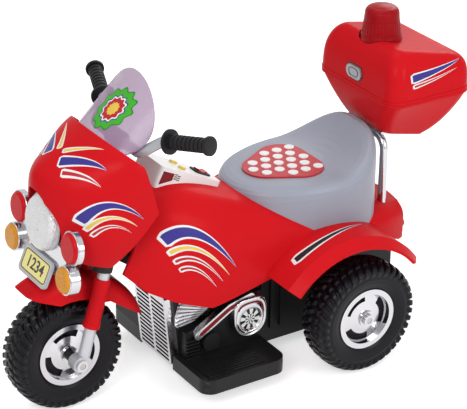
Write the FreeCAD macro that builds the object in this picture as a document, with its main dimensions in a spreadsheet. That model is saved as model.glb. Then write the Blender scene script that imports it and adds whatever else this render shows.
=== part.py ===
import FreeCAD, Part
import Sketcher
import math
import os
import re
from FreeCAD import Placement, Rotation, Vector

# Driving dimensions in millimetres and degrees. X points forward, Y to the rider's left, Z up,
# and the ground is Z = 0.
SIZES = {
    # wheels and axles
    "wheelbase": 528, "front_axle_x": 359, "tyre_radius": 110, "lug_depth": 6, "tyre_half_width": 35,
    "tread_half_width": 29, "sidewall_radius": 84, "sidewall_round": 22, "shoulder_radius": 98,
    "shoulder_half_width": 33,
    "tread_lugs": 20, "lug_angle": 10, "lug_gap": 1.5, "bead_radius": 57, "bead_half_width": 25,
    "rim_fit": 0.1, "rim_lip_radius": 60, "rim_lip": 2.5, "rim_face": 29.5, "rim_inner_radius": 50,
    "rim_wall": 4, "disc_face": 16, "disc_rise": 8, "hub_radius": 16, "hub_half_width": 30,
    "window_count": 3, "window_inner_radius": 33, "window_outer_radius": 48, "window_inner_half": 20,
    "window_outer_half": 29, "window_round": 4, "axle_radius": 6, "running_fit": 0.05,
    "end_gap": 0.4, "rear_track_half": 172, "cap_radius": 11, "cap_length": 6, "front_spin": 35,
    "rear_spin": 66,
    # steering axis and fork
    "rake": 16, "fork_offset": 8, "fork_half_track": 60, "fork_tube_radius": 11, "fork_lug_radius": 15,
    "sleeve_radius": 14, "sleeve_bottom": 70, "sleeve_top": 163, "sleeve_collar": 1.6,
    "sleeve_collar_length": 9, "crown_bottom": 178, "crown_thickness": 14, "crown_front": 24,
    "crown_back": 14, "crown_round": 16, "crown_overhang": 14, "fork_top": 200, "slip_fit": 0.1,
    "stem_radius": 10, "head_radius": 19, "head_bottom_gap": 0.4, "head_length": 92,
    "steer_angle": 20, "axle_spacer_radius": 10,
    # front mudguard, from the front axle in the steering frame
    "guard_radius": 157, "guard_half_width": 46, "guard_crown_half": 36, "guard_skirt_radius": 116,
    "guard_wall": 3.5, "guard_round": 26, "guard_nose_u": 113, "guard_nose_w": 109,
    "guard_belly_u": 56, "guard_belly_w": 103, "guard_waist_u": -47, "guard_waist_w": 112,
    "guard_tail_u": -138, "guard_tail_w": 78, "guard_post_radius": 9,
    # fairing, windshield and lamps
    "fairing_wall": 3.5, "fairing_half_width": 123, "fairing_back_u": -60, "fairing_edge_u": -38,
    "fairing_nose_rise": 154, "fairing_edge_drop": 103.5, "fairing_foot_u": 6, "fairing_foot_rise": 16,
    "shield_base_u": 61, "shield_base_rise": 84.5, "shield_corner_u": 10.5, "shield_corner_drop": 23,
    "shield_radius": 112,
    "shield_thickness": 2.5, "shield_height": 131, "shield_half_width": 89, "shield_waist": 42, "shield_lean": 31,
    "shield_tuck": 14, "shield_slot": 0.4,
    "lamp_x": 388, "lamp_z": 375, "lamp_tilt": 7, "head_low_radius": 50, "head_low_z": -5,
    "head_top_radius": 26, "head_top_z": 30, "head_depth": 18, "head_edge_round": 13,
    "bezel_width": 4, "bracket_half_width": 16, "cluster_back": -14, "cluster_plate": 10, "arm_low_z": -84, "arm_high_z": -28,
    "arm_half": 84, "red_y": 94.4, "red_z": -14.6, "red_radius": 27.5, "red_face": -4, "amber_y": 95.8,
    "amber_z": -72, "amber_radius": 23.5, "amber_face": 4, "cup_wall": 3, "lens_bulge": 7,
    "lens_round": 6, "lens_seat": 6, "cup_fit": 0.2,
    "plate_x": 407, "plate_z": 290, "plate_tilt": 24, "plate_half_width": 45, "plate_half_height": 20.5,
    "plate_frame_width": 5, "plate_thickness": 2, "plate_frame_thickness": 5, "plate_round": 5,
    # handlebar and grips, in the steering frame
    "bar_radius": 9.5, "bar_drop": 12.5, "bar_half_flat": 78, "bar_rise_u": -25, "bar_rise_v": 102,
    "bar_rise": 33, "bar_end_u": -52, "bar_end_v": 199, "bar_end_rise": 62, "bar_bend": 18,
    "grip_length": 92, "grip_radius": 13.5, "grip_flange_radius": 22, "grip_flange": 5,
    "grip_end_radius": 17, "grip_rib": 1.2, "grip_rib_count": 9, "bar_clamp_radius": 16,
    "bar_clamp_half": 18,
    # chassis tub and footboards
    "tub_half_width": 62, "tub_wall": 4, "tub_floor_z": 33, "tub_top_z": 205, "tub_front_x": 150,
    "tub_front_top_x": 168, "tub_rear_x": -325, "tub_rear_cut_x": -280, "tub_rear_cut_z": 80,
    "board_top_z": 62, "board_front_x": 163, "board_rear_x": -14, "board_half_width": 172,
    "board_waist": 128, "board_round": 24, "board_wall": 4, "tread_front_x": 150, "tread_rear_x": 30,
    "tread_inner_y": 104, "tread_outer_y": 162, "tread_rib_height": 2.5, "tread_rib_width": 4,
    "tread_rib_count": 9, "front_rib_x": 110, "rear_rib_x": -300, "side_rib_width": 9,
    "side_rib_height": 5, "side_rib_front_x": -22, "side_rib_pitch": 22, "side_rib_count": 3,
    # radiator grille
    "grille_half_width": 56, "grille_bottom": 8, "grille_height": 146, "grille_depth": 14,
    "grille_border": 7, "grille_rib": 8, "slot_height": 5, "slot_pitch": 9, "slot_count": 14,
    # body shell
    "shell_wall": 4, "seat_gap": 0.3, "shell_front_gap": 24, "shell_front_slant": 20, "shell_front_wide": 85, "boss_radius": 8, "boss_y": 55,
    "rear_boss_y": 22, "carrier_room": 1,
    "arch_inner_y": 68, "arch_x": -141, "arch_z": 97, "arch_radius": 180, "arch_edge_radius": 167, "arch_outer_y": 206,
    "arch_shoulder_y": 186, "arch_front_angle": 39, "arch_rear_angle": 145, "arch_lip": 5,
    # seat
    "seat_centre_x": -165, "seat_front_x": 17, "seat_rear_x": -285, "seat_half_width": 121,
    "seat_rim_z": 357, "seat_back_rise": 58, "seat_base_z": 240, "seat_wall": 4, "pad_front_x": -28, "pad_rear_x": -172, "pad_half_width": 75,
    "pad_round": 45, "pad_floor_z": 358, "pad_thickness": 6, "pad_fit": 0.3, "dot_radius": 9.3,
    "dot_height": 1.6, "dot_pitch": 27.8, "dot_rear_x": -156,
    # control console, in its own tilted frame
    "console_x": 112, "console_z": 409, "console_tilt": 27.5, "console_front": 68, "console_back": -80,
    "console_front_half": 43, "console_back_half": 27, "console_depth": 62, "console_wall": 4,
    "console_round": 8, "button_half_gap": 15, "button_long": 9, "button_short": 6.5,
    "button_height": 4, "button_stem": 9, "button_fit": 0.4, "button_travel": 2, "button_at": 6,
    "switch_at": -46, "switch_half_length": 12, "switch_half_width": 9, "switch_fit": 0.5,
    "switch_swing": 12, "bezel_border": 5, "bezel_height": 3, "switch_pivot_radius": 1.8,
    # engine dress, from the side of the tub
    "engine_rear_x": -12, "engine_front_x": 150, "engine_low_z": 62.5, "engine_front_z": 116,
    "engine_step_x": 100, "engine_step_z": 122, "engine_high_x": 66, "engine_high_z": 160,
    "engine_plate": 18, "clutch_x": 101, "clutch_z": 90, "clutch_radius": 18, "clutch_depth": 32,
    "cylinder_back_x": 122, "cylinder_rib": 3.5, "cylinder_pitch": 7, "cylinder_count": 6,
    "cylinder_depth": 25, "fan_x": 70, "fan_z": 136, "fan_inner": 22, "fan_outer": 92, "fan_rib": 3,
    "fan_depth": 9, "fan_base": 3, "fan_count": 8, "fan_start": -6, "fan_sweep": 36,
    "arm_front_x": 130, "arm_front_z": 111, "arm_knee_x": 62, "arm_knee_z": 150, "arm_back_x": 18,
    "arm_back_z": 160, "arm_radius": 8, "arm_depth": 14, "cover_x": 21, "cover_z": 116.5,
    "cover_radius": 33, "cover_depth": 18, "cover_face_radius": 23, "cover_recess": 2.5,
    # drive
    "battery_length": 130, "battery_width": 90, "battery_height": 85, "battery_rear_x": -90,
    "motor_radius": 19, "motor_length": 48, "motor_x": -118, "gearbox_face": 5, "gearbox_round": 18,
    "gearbox_front_x": -92, "gearbox_rear_x": -208, "gearbox_low_z": 76, "gearbox_high_z": 146,
    "coupling_radius": 22, "coupling_length": 6, "hub_seat": 2, "spacer_radius": 10,
    # accelerator pedal on the right footboard
    "pedal_x": 15, "pedal_y": -134, "pedal_length": 86, "pedal_half_width": 24, "pedal_thickness": 5,
    "pedal_angle": 11, "pedal_travel": 8, "pedal_knuckle": 5, "pedal_pin_radius": 2.2, "pedal_fit": 0.5,
    "pedal_ear": 4, "pedal_lift": 7, "pedal_rib_count": 6, "pedal_rib_height": 1.5, "pedal_rib_pitch": 11,
    "bracket_length": 40, "bracket_plate": 1.5,
    # tail lamp, carrier and top box
    "tail_x": -343, "tail_half_width": 38, "tail_low_z": 179, "tail_high_z": 243, "tail_top_depth": 9,
    "tail_foot_depth": 33, "tail_round": 6, "carrier_x": -302, "carrier_half": 54, "carrier_radius": 8,
    "carrier_top_z": 389, "carrier_bend": 26, "carrier_plate": 4, "carrier_plate_length": 96,
    "box_floor_z": 390, "box_floor_tilt": 12, "box_foot_x": -344, "box_foot_half_length": 50, "box_foot_half_width": 62,
    "box_lip_x": -359, "box_lip_half_length": 94, "box_lip_half_width": 122, "box_lip_z": 482,
    "box_wall": 3.5, "box_foot_round": 22, "box_lip_round": 30, "lip_flange": 1, "lip_height": 5,
    "lid_gap": 0.5, "lid_height": 80.5, "lid_tilt": 12, "hinge_radius": 3, "hinge_knuckle": 7.2,
    "hinge_half_length": 40, "hinge_inner_half": 20, "latch_z": 511, "latch_half_width": 23,
    "latch_half_height": 12.5, "latch_depth": 9, "latch_fit": 0.3, "latch_wall": 3, "latch_travel": 2,
    "latch_face_x": -263, "beacon_x": -324, "beacon_z": 566, "beacon_base_radius": 39,
    "beacon_top_radius": 33, "beacon_height": 66, "beacon_round": 9, "beacon_wall": 3, "beacon_foot": 5,
    "beacon_core_radius": 12, "beacon_core_height": 46,
}

doc = FreeCAD.newDocument("kids_motorbike")
dims = doc.addObject("Spreadsheet::Sheet", "dims")
for row, (alias, value) in enumerate(SIZES.items(), 1):
    dims.set(f"A{row}", alias)
    dims.set(f"B{row}", str(value))
    dims.setAlias(f"B{row}", alias)
doc.recompute()

PARTS = []
X_AXIS, Y_AXIS, Z_AXIS = Vector(1, 0, 0), Vector(0, 1, 0), Vector(0, 0, 1)


def bind(text):
    """Returns a formula written with the aliases alone in the sheet's own form."""
    return re.sub(r"[A-Za-z_]\w*", lambda word: "dims." + word.group(), text)


def size(text):
    """Returns the value of such a formula."""
    return float(dims.evalExpression(bind(text)))


def place(x, y, z, axis=Z_AXIS, angle=0):
    return Placement(Vector(x, y, z), Rotation(axis, angle))


# Frames of the steering head, the lamp cluster and the console.
AXLE_Z = size("tyre_radius")
FRONT_X = size("front_axle_x")
REAR_X = size("front_axle_x - wheelbase")
COS_RAKE = math.cos(math.radians(size("rake")))
SIN_RAKE = math.sin(math.radians(size("rake")))
STEER = place(FRONT_X - size("fork_offset") * COS_RAKE, 0, AXLE_Z - size("fork_offset") * SIN_RAKE,
              Y_AXIS, -size("rake"))
LAMPS = place(size("lamp_x"), 0, size("lamp_z"), Y_AXIS, -size("lamp_tilt"))
CONSOLE = place(size("console_x"), 0, size("console_z"), Y_AXIS, -size("console_tilt"))


def in_steer(u, v, w, axis=Z_AXIS, angle=0):
    return STEER.multiply(place(u, v, w, axis, angle))


def keep(part, placement=None):
    """Lists an object of the document as a finished sub-part, at its place."""
    if placement is not None:
        part.Placement = placement
    PARTS.append(part)
    return part


def new_body(label):
    part = doc.addObject("PartDesign::Body", label)
    part.Label = label
    return part


def origin_of(part, role):
    return next(item for item in part.Origin.OriginFeatures if item.Role == role)


def new_sketch(part, role, offset=None):
    """Adds a sketch on one of the body's origin planes, moved along the plane's normal."""
    drawing = part.newObject("Sketcher::SketchObject", "outline")
    drawing.AttachmentSupport = [(origin_of(part, role), "")]
    drawing.MapMode = "FlatFace"
    if offset is not None:
        drawing.setExpression("AttachmentOffset.Base.z", bind(offset))
    return drawing


def fix_point(drawing, geometry, point, x, y):
    for kind, text in (("DistanceX", x), ("DistanceY", y)):
        at = drawing.addConstraint(Sketcher.Constraint(kind, -1, 1, geometry, point, size(text)))
        drawing.setExpression(f"Constraints[{at}]", bind(text))


def polygon(drawing, corners):
    """Draws a closed outline; a corner is (x, y) or (x, y, radius of its rounding)."""
    first = drawing.GeometryCount
    count = len(corners)
    spots = [Vector(size(corner[0]), size(corner[1]), 0) for corner in corners]
    for index in range(count):
        drawing.addGeometry(Part.LineSegment(spots[index], spots[(index + 1) % count]), False)
    for index in range(count):
        following = first + (index + 1) % count
        drawing.addConstraint(Sketcher.Constraint("Coincident", first + index, 2, following, 1))
    for index, corner in enumerate(corners):
        fix_point(drawing, first + index, 1, corner[0], corner[1])
    for index, corner in enumerate(corners):
        if len(corner) > 2:
            before = first + (index - 1) % count
            drawing.fillet(before, 2, size(corner[2]), True, True)
            arc = drawing.GeometryCount - 2
            at = drawing.addConstraint(Sketcher.Constraint("Radius", arc, size(corner[2])))
            drawing.setExpression(f"Constraints[{at}]", bind(corner[2]))


def rectangle(drawing, x0, y0, x1, y1, rounding=None):
    corners = [(x0, y0), (x1, y0), (x1, y1), (x0, y1)]
    if rounding is not None:
        corners = [corner + (rounding,) for corner in corners]
    polygon(drawing, corners)


def circle(drawing, x, y, radius):
    ring = drawing.addGeometry(Part.Circle(Vector(size(x), size(y), 0), Z_AXIS, size(radius)), False)
    fix_point(drawing, ring, 3, x, y)
    at = drawing.addConstraint(Sketcher.Constraint("Radius", ring, size(radius)))
    drawing.setExpression(f"Constraints[{at}]", bind(radius))


def stadium(drawing, x0, y0, x1, y1, radius):
    """Draws a slot between two centres."""
    ends = [Vector(size(x0), size(y0), 0), Vector(size(x1), size(y1), 0)]
    egg(drawing, ends[0], (x0, y0, radius), ends[1], (x1, y1, radius))


def egg(drawing, low, low_names, top, top_names):
    """Draws the hull of two circles: two arcs joined by two tangent lines."""
    low_radius, top_radius = size(low_names[2]), size(top_names[2])
    along = math.atan2(top.y - low.y, top.x - low.x)
    lean = math.acos((low_radius - top_radius) / low.distanceToPoint(top))
    first = drawing.GeometryCount
    low_ring = Part.Circle(low, Z_AXIS, low_radius)
    top_ring = Part.Circle(top, Z_AXIS, top_radius)
    low_arc = Part.ArcOfCircle(low_ring, along + lean, along - lean + 2 * math.pi)
    top_arc = Part.ArcOfCircle(top_ring, along - lean, along + lean)
    drawing.addGeometry(low_arc, False)
    drawing.addGeometry(Part.LineSegment(low_arc.EndPoint, top_arc.StartPoint), False)
    drawing.addGeometry(top_arc, False)
    drawing.addGeometry(Part.LineSegment(top_arc.EndPoint, low_arc.StartPoint), False)
    for index in range(4):
        drawing.addConstraint(Sketcher.Constraint("Tangent", first + index, 2, first + (index + 1) % 4, 1))
    for arc, names in ((first, low_names), (first + 2, top_names)):
        fix_point(drawing, arc, 3, names[0], names[1])
        at = drawing.addConstraint(Sketcher.Constraint("Radius", arc, size(names[2])))
        drawing.setExpression(f"Constraints[{at}]", bind(names[2]))


def pad(part, drawing, length, both=False, back=False):
    feature = part.newObject("PartDesign::Pad", "pad")
    feature.Profile = drawing
    feature.setExpression("Length", bind(length))
    feature.SideType = "Symmetric" if both else "One side"
    feature.Reversed = back
    return feature


def pocket(part, drawing, length=None, both=False, back=False):
    """Cuts a sketch out of the body, to a depth or right through."""
    feature = part.newObject("PartDesign::Pocket", "pocket")
    feature.Profile = drawing
    if length is None:
        feature.Type = "ThroughAll"
    else:
        feature.setExpression("Length", bind(length))
    feature.SideType = "Symmetric" if both else "One side"
    feature.Reversed = back
    return feature


def revolve(part, drawing, axis="V_Axis", angle=None):
    feature = part.newObject("PartDesign::Revolution", "turned")
    feature.Profile = drawing
    feature.ReferenceAxis = (drawing, [axis])
    if angle is not None:
        feature.setExpression("Angle", bind(angle))
    return feature


def around(part, feature, axis, count, angle=None):
    """Repeats a feature about an origin axis, over the full turn unless an angle is given."""
    pattern = part.newObject("PartDesign::PolarPattern", "ring")
    pattern.Originals = [feature]
    pattern.Axis = (origin_of(part, axis), [""])
    if angle is not None:
        pattern.setExpression("Angle", bind(angle))
    pattern.setExpression("Occurrences", bind(count))
    part.Tip = pattern
    return pattern


def along(part, feature, axis, length, count, back=False):
    pattern = part.newObject("PartDesign::LinearPattern", "row")
    pattern.Originals = [feature]
    pattern.Direction = (origin_of(part, axis), [""])
    pattern.setExpression("Length", bind(length))
    pattern.setExpression("Occurrences", bind(count))
    pattern.Reversed = back
    part.Tip = pattern
    return pattern


def mirrored(part, features, role):
    twin = part.newObject("PartDesign::Mirrored", "twin")
    twin.Originals = features
    twin.MirrorPlane = (origin_of(part, role), [""])
    part.Tip = twin
    return twin


def rounded(part, feature, radius, chosen):
    """Rounds the edges of a feature that a test of the edge picks."""
    doc.recompute()
    names = [f"Edge{n}" for n, edge in enumerate(feature.Shape.Edges, 1) if chosen(edge)]
    rounding = part.newObject("PartDesign::Fillet", "rounding")
    rounding.Base = (feature, names)
    rounding.setExpression("Radius", bind(radius))
    return rounding


def solid(label, shape, placement=None):
    """Adds a piece whose form is worked out from the sheet's values below."""
    part = doc.addObject("Part::Feature", label)
    part.Label = label
    part.Shape = shape.Solids[0] if len(shape.Solids) == 1 else shape
    if placement is not None:
        part.Placement = placement
    return part


def rod(label, radius, length, placement):
    part = doc.addObject("Part::Cylinder", label)
    part.Label = label
    part.setExpression("Radius", bind(radius))
    part.setExpression("Height", bind(length))
    return keep(part, placement)


def pair(label, part):
    """Adds a piece and its mirror image on the other side as one node."""
    image = doc.addObject("Part::Mirroring", label + "_image")
    image.Source = part
    image.Normal = Y_AXIS
    both = doc.addObject("Part::Compound", label)
    both.Label = label
    both.Links = [part, image]
    return keep(both)


def pushed(wire, direction):
    """Returns the solid of a closed flat wire pushed along a direction."""
    block = Part.Face(wire).extrude(direction)
    return block if block.Volume > 0 else block.reversed()


def prism(points, direction):
    return pushed(Part.makePolygon(points + points[:1]), direction)


def side_prism(points, half_width):
    """Returns the solid of a side view, given as (x, z), across the part's width."""
    return prism([Vector(x, -half_width, z) for x, z in points], Vector(0, 2 * half_width, 0))


ROUND = 0.5523


def bent(start, leave, end, arrive, fullness):
    """Returns a curved edge between two points with given directions, fuller towards their corner."""
    reach = end - start
    first = start + leave * (leave.dot(reach) * fullness)
    second = end - arrive * (arrive.dot(reach) * fullness)
    curve = Part.BezierCurve()
    curve.setPoles([start, first, second, end])
    return curve.toShape()


def smooth_ring(points, fullness):
    """Returns a closed wire of four curved quarters, each with its fullness: ROUND is an ellipse."""
    count = len(points)
    along = [(points[(n + 1) % count] - points[n - 1]).normalize() for n in range(count)]
    quarters = []
    for n in range(count):
        following = (n + 1) % count
        quarters.append(bent(points[n], along[n], points[following], along[following], fullness[n]))
    return Part.Wire(quarters)


def cut_solid(form, *tools):
    for tool in tools:
        form = form.cut(tool)
    return form


def tube(points, radius, bend):
    """Returns a round bar along a polyline whose corners are bent to a radius."""
    path = []
    start = points[0]
    for before, corner, after in zip(points, points[1:], points[2:]):
        inward = (before - corner).normalize()
        outward = (after - corner).normalize()
        half = inward.getAngle(outward) / 2
        reach = bend / math.tan(half)
        centre = corner + (inward + outward).normalize() * (bend / math.sin(half))
        middle = centre + (corner - centre).normalize() * bend
        path.append(Part.LineSegment(start, corner + inward * reach).toShape())
        path.append(Part.Arc(corner + inward * reach, middle, corner + outward * reach).toShape())
        start = corner + outward * reach
    path.append(Part.LineSegment(start, points[-1]).toShape())
    wire = Part.Wire(path)
    profile = Part.Wire(Part.makeCircle(radius, points[0], points[1] - points[0]))
    return wire.makePipeShell([profile], True, False)


# Wheels: a knobbed tyre on a slotted rim, the same at the front and at the rear.
def make_tyre(label, placement):
    part = new_body(label)
    section = new_sketch(part, "XY_Plane")
    half = [("bead_radius", "bead_half_width"), ("sidewall_radius", "tyre_half_width", "sidewall_round"),
            ("shoulder_radius", "shoulder_half_width"), ("tyre_radius - lug_depth", "tread_half_width")]
    polygon(section, half + [(r, f"-{y}", *rest) for r, y, *rest in reversed(half)])
    revolve(part, section)
    for sign, turn in (("", "0"), ("-", "180 / tread_lugs")):
        lug = new_sketch(part, "XY_Plane")
        lug.AttachmentOffset = place(0, 0, 0, Y_AXIS, 1)
        lug.setExpression("AttachmentOffset.Rotation.Angle", bind(turn))
        polygon(lug, [
            ("tyre_radius - lug_depth - 4", sign + "lug_gap"), ("tyre_radius", sign + "lug_gap"),
            ("tyre_radius", sign + "(tread_half_width - 1)"),
            ("shoulder_radius - 1", sign + "(shoulder_half_width - 0.6)"),
            ("shoulder_radius - 1", sign + "(tread_half_width - 4)")])
        around(part, revolve(part, lug, angle="lug_angle"), "Y_Axis", "tread_lugs")
    keep(part, placement)


def make_rim(label, placement, coupling=None):
    part = new_body(label)
    section = new_sketch(part, "XY_Plane")
    half = [("axle_radius + running_fit", "hub_half_width"), ("hub_radius", "hub_half_width"),
            ("hub_radius", "disc_face + disc_rise"), ("rim_inner_radius", "disc_face"),
            ("rim_inner_radius", "rim_face"), ("rim_lip_radius", "rim_face"),
            ("rim_lip_radius", "rim_face - rim_lip"), ("bead_radius - rim_fit", "rim_face - rim_lip")]
    polygon(section, half + [(r, f"-({y})") for r, y in reversed(half)])
    rectangle(section, "hub_radius", "-(disc_face - rim_wall)", "bead_radius - rim_wall",
              "disc_face - rim_wall")
    revolve(part, section)
    window = new_sketch(part, "XZ_Plane")
    rim_window(window)
    around(part, pocket(part, window, both=True), "Y_Axis", "window_count")
    if coupling is not None:
        dog = new_sketch(part, "XZ_Plane", "hub_half_width - hub_seat")
        circle(dog, "0", "0", "coupling_radius")
        circle(dog, "0", "0", "hub_radius - hub_seat")
        pad(part, dog, "coupling_length")
    keep(part, placement)


def rim_window(drawing):
    """Draws one kidney window between two arcs about the axle."""
    inner, outer = size("window_inner_radius"), size("window_outer_radius")
    inner_turn = math.asin(size("window_inner_half") / inner)
    outer_turn = math.asin(size("window_outer_half") / outer)
    origin = Vector(0, 0, 0)
    small = Part.ArcOfCircle(Part.Circle(origin, Z_AXIS, inner), -inner_turn, inner_turn)
    large = Part.ArcOfCircle(Part.Circle(origin, Z_AXIS, outer), -outer_turn, outer_turn)
    drawing.addGeometry(small, False)
    drawing.addGeometry(large, False)
    drawing.addGeometry(Part.LineSegment(small.EndPoint, large.EndPoint), False)
    drawing.addGeometry(Part.LineSegment(large.StartPoint, small.StartPoint), False)
    for one, one_end, two, two_end in ((0, 2, 2, 1), (2, 2, 1, 2), (1, 1, 3, 1), (3, 2, 0, 1)):
        drawing.addConstraint(Sketcher.Constraint("Coincident", one, one_end, two, two_end))
    for arc, radius, half in ((0, "window_inner_radius", "window_inner_half"),
                              (1, "window_outer_radius", "window_outer_half")):
        drawing.addConstraint(Sketcher.Constraint("Coincident", arc, 3, -1, 1))
        at = drawing.addConstraint(Sketcher.Constraint("Radius", arc, size(radius)))
        drawing.setExpression(f"Constraints[{at}]", bind(radius))
        for point, text in ((1, f"-{half}"), (2, half)):
            at = drawing.addConstraint(Sketcher.Constraint("DistanceY", -1, 1, arc, point, size(text)))
            drawing.setExpression(f"Constraints[{at}]", bind(text))


TRACK = size("rear_track_half")
make_tyre("front_tyre", place(FRONT_X, 0, AXLE_Z, Y_AXIS, size("front_spin")))
make_rim("front_rim", place(FRONT_X, 0, AXLE_Z, Y_AXIS, size("front_spin")))
make_tyre("rear_tyre_left", place(REAR_X, TRACK, AXLE_Z, Y_AXIS, size("rear_spin")))
make_rim("rear_rim_left", place(REAR_X, TRACK, AXLE_Z, Y_AXIS, size("rear_spin")))
RIGHT_WHEEL = place(REAR_X, -TRACK, AXLE_Z, Y_AXIS, size("rear_spin"))
make_tyre("rear_tyre_right", RIGHT_WHEEL)
make_rim("rear_rim_right", RIGHT_WHEEL.multiply(place(0, 0, 0, Z_AXIS, 180)), coupling=True)

# Axles with their spacers and caps.
def washers(label, radius, bore, spans, x, z):
    """Adds rings on an axle, one for each (from, to) along Y."""
    rings = []
    for start, end in spans:
        base = Vector(x, start, z)
        ring = Part.makeCylinder(size(radius), end - start, base, Y_AXIS)
        rings.append(ring.cut(Part.makeCylinder(size(bore), end - start, base, Y_AXIS)))
    return keep(solid(label, Part.makeCompound(rings) if len(rings) > 1 else rings[0]))


HUB = size("hub_half_width")
END_GAP = size("end_gap")
CAP = size("cap_length")
FORK_OUT = size("fork_half_track + fork_tube_radius")
FORK_IN = size("fork_half_track - fork_tube_radius")
FRONT_END = FORK_OUT + CAP
REAR_END = TRACK + HUB + END_GAP + CAP
PRESS = "axle_radius + rim_fit"

rod("front_axle", "axle_radius", "(fork_half_track + fork_tube_radius + cap_length) * 2 - 2",
    place(FRONT_X, 1 - FRONT_END, AXLE_Z, X_AXIS, -90))
washers("front_axle_spacers", "axle_spacer_radius", PRESS,
        [(HUB + END_GAP, FORK_IN), (-FORK_IN, -HUB - END_GAP)], FRONT_X, AXLE_Z)
washers("front_axle_caps", "cap_radius", PRESS, [(FORK_OUT, FRONT_END), (-FRONT_END, -FORK_OUT)],
        FRONT_X, AXLE_Z)
rod("rear_axle", "axle_radius", "(rear_track_half + hub_half_width + end_gap + cap_length) * 2 - 2",
    place(REAR_X, 1 - REAR_END, AXLE_Z, X_AXIS, -90))
washers("rear_axle_caps", "cap_radius", PRESS,
        [(REAR_END - CAP, REAR_END), (-REAR_END, CAP - REAR_END)], REAR_X, AXLE_Z)
washers("rear_axle_spacer", "spacer_radius", PRESS,
        [(size("tub_half_width"), TRACK - HUB - END_GAP)], REAR_X, AXLE_Z)


# Fork: chromed tubes with a leading axle lug, red sleeves and a black crown.
leg = new_body("fork_tube")
section = new_sketch(leg, "XY_Plane", "-fork_lug_radius")
circle(section, "0", "0", "fork_tube_radius")
pad(leg, section, "fork_lug_radius + fork_top")
lug = new_sketch(leg, "XZ_Plane")
stadium(lug, "0", "0", "fork_offset", "0", "fork_lug_radius")
pad(leg, lug, "fork_tube_radius * 2", both=True)
bore = new_sketch(leg, "XZ_Plane")
circle(bore, "fork_offset", "0", PRESS)
pocket(leg, bore, both=True)
leg.Placement = in_steer(0, size("fork_half_track"), 0)
pair("fork_tubes", leg)

sleeve = new_body("fork_sleeve")
section = new_sketch(sleeve, "XZ_Plane")
bore = "fork_tube_radius + slip_fit"
collar = "sleeve_radius + sleeve_collar"
polygon(section, [
    (bore, "sleeve_bottom"), (collar, "sleeve_bottom"), (collar, "sleeve_bottom + sleeve_collar_length"),
    ("sleeve_radius", "sleeve_bottom + sleeve_collar_length + sleeve_collar"),
    ("sleeve_radius", "sleeve_top", "sleeve_collar"), (bore, "sleeve_top")])
revolve(sleeve, section)
sleeve.Placement = in_steer(0, size("fork_half_track"), 0)
pair("fork_sleeves", sleeve)

crown = new_body("fork_crown")
outline = new_sketch(crown, "XY_Plane", "crown_bottom")
rectangle(outline, "-crown_back", "-(fork_half_track + crown_overhang)", "crown_front",
          "fork_half_track + crown_overhang", "crown_round")
pad(crown, outline, "crown_thickness")
holes = new_sketch(crown, "XY_Plane", "crown_bottom")
circle(holes, "0", "0", "stem_radius + rim_fit")
circle(holes, "0", "fork_half_track", "fork_tube_radius + slip_fit")
circle(holes, "0", "-fork_half_track", "fork_tube_radius + slip_fit")
pocket(crown, holes, back=True)
keep(crown, STEER)
SHIELD_W = "(crown_bottom + fairing_nose_rise + shield_base_rise)"
BAR_W = f"({SHIELD_W} - bar_drop)"
rod("steering_stem", "stem_radius", f"{BAR_W} - bar_clamp_radius - slip_fit * 2 - crown_bottom",
    in_steer(0, 0, size("crown_bottom")))

guard = new_body("front_mudguard")
section = new_sketch(guard, "XY_Plane")
polygon(section, [
    ("guard_skirt_radius", "guard_half_width"), ("guard_radius", "guard_crown_half", "guard_round"),
    ("guard_radius", "-guard_crown_half", "guard_round"), ("guard_skirt_radius", "-guard_half_width"),
    ("guard_skirt_radius", "-(guard_half_width - guard_wall)"),
    ("guard_radius - guard_wall", "-(guard_crown_half - guard_wall)", "guard_round - guard_wall"),
    ("guard_radius - guard_wall", "guard_crown_half - guard_wall", "guard_round - guard_wall"),
    ("guard_skirt_radius", "guard_half_width - guard_wall")])
revolve(guard, section)
trim = new_sketch(guard, "XZ_Plane")
polygon(trim, [
    ("guard_radius * 2", "guard_nose_w"), ("guard_nose_u", "guard_nose_w"),
    ("guard_belly_u", "guard_belly_w"), ("guard_waist_u", "guard_waist_w"),
    ("guard_tail_u", "guard_tail_w"), ("-guard_radius * 2", "guard_tail_w"),
    ("-guard_radius * 2", "-guard_radius * 2"), ("guard_radius * 2", "-guard_radius * 2")])
pocket(guard, trim, both=True)
post = new_sketch(guard, "XY_Plane", "guard_radius - guard_wall * 2")
circle(post, "-fork_offset", "0", "guard_post_radius")
pad(guard, post, "crown_bottom - guard_radius + guard_wall * 2")
keep(guard, in_steer(size("fork_offset"), 0, 0))


# Fairing: level sections of the nose, stacked along the steering axis. Each is a superellipse in
# front of its straight cheeks.
FAIRING_LEVELS = [
    # over the nose, reach of the nose, half width of the cheeks, where the nose begins, fullness
    (-167, 82, 62, 10, 0.52), (-127, 107, 92, 10, 0.5), (-77, 130, 113, 12, 0.46), (-32, 144, 122, 14, 0.4),
    (0, 146, 124, 14, 0.36), (30, 122, 123, 10, 0.42), (63, 86, 118, 0, 0.58), (93, 53.5, 104, -10, 0.54),
    (123, 21, 90, -20, 0.5),
]


def fairing_form(inset):
    rings = []
    scale = size("fairing_half_width") / 123
    back = size("fairing_back_u") - (40 if inset else 0)
    for rise, nose, half, shoulder, fullness in FAIRING_LEVELS:
        level = size("crown_bottom + fairing_nose_rise") + rise
        wide = half * scale - inset
        reach = nose - inset - shoulder
        right, left = Vector(shoulder, -wide, level), Vector(shoulder, wide, level)
        tip = Vector(shoulder + reach, 0, level)
        sides = [bent(right, X_AXIS, tip, Y_AXIS, fullness), bent(tip, Y_AXIS, left, -X_AXIS, fullness)]
        rear = Part.makePolygon([left, Vector(back, wide, level), Vector(back, -wide, level), right])
        rings.append(Part.Wire(sides + rear.Edges))
    return Part.makeLoft(rings, True, False)


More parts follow.
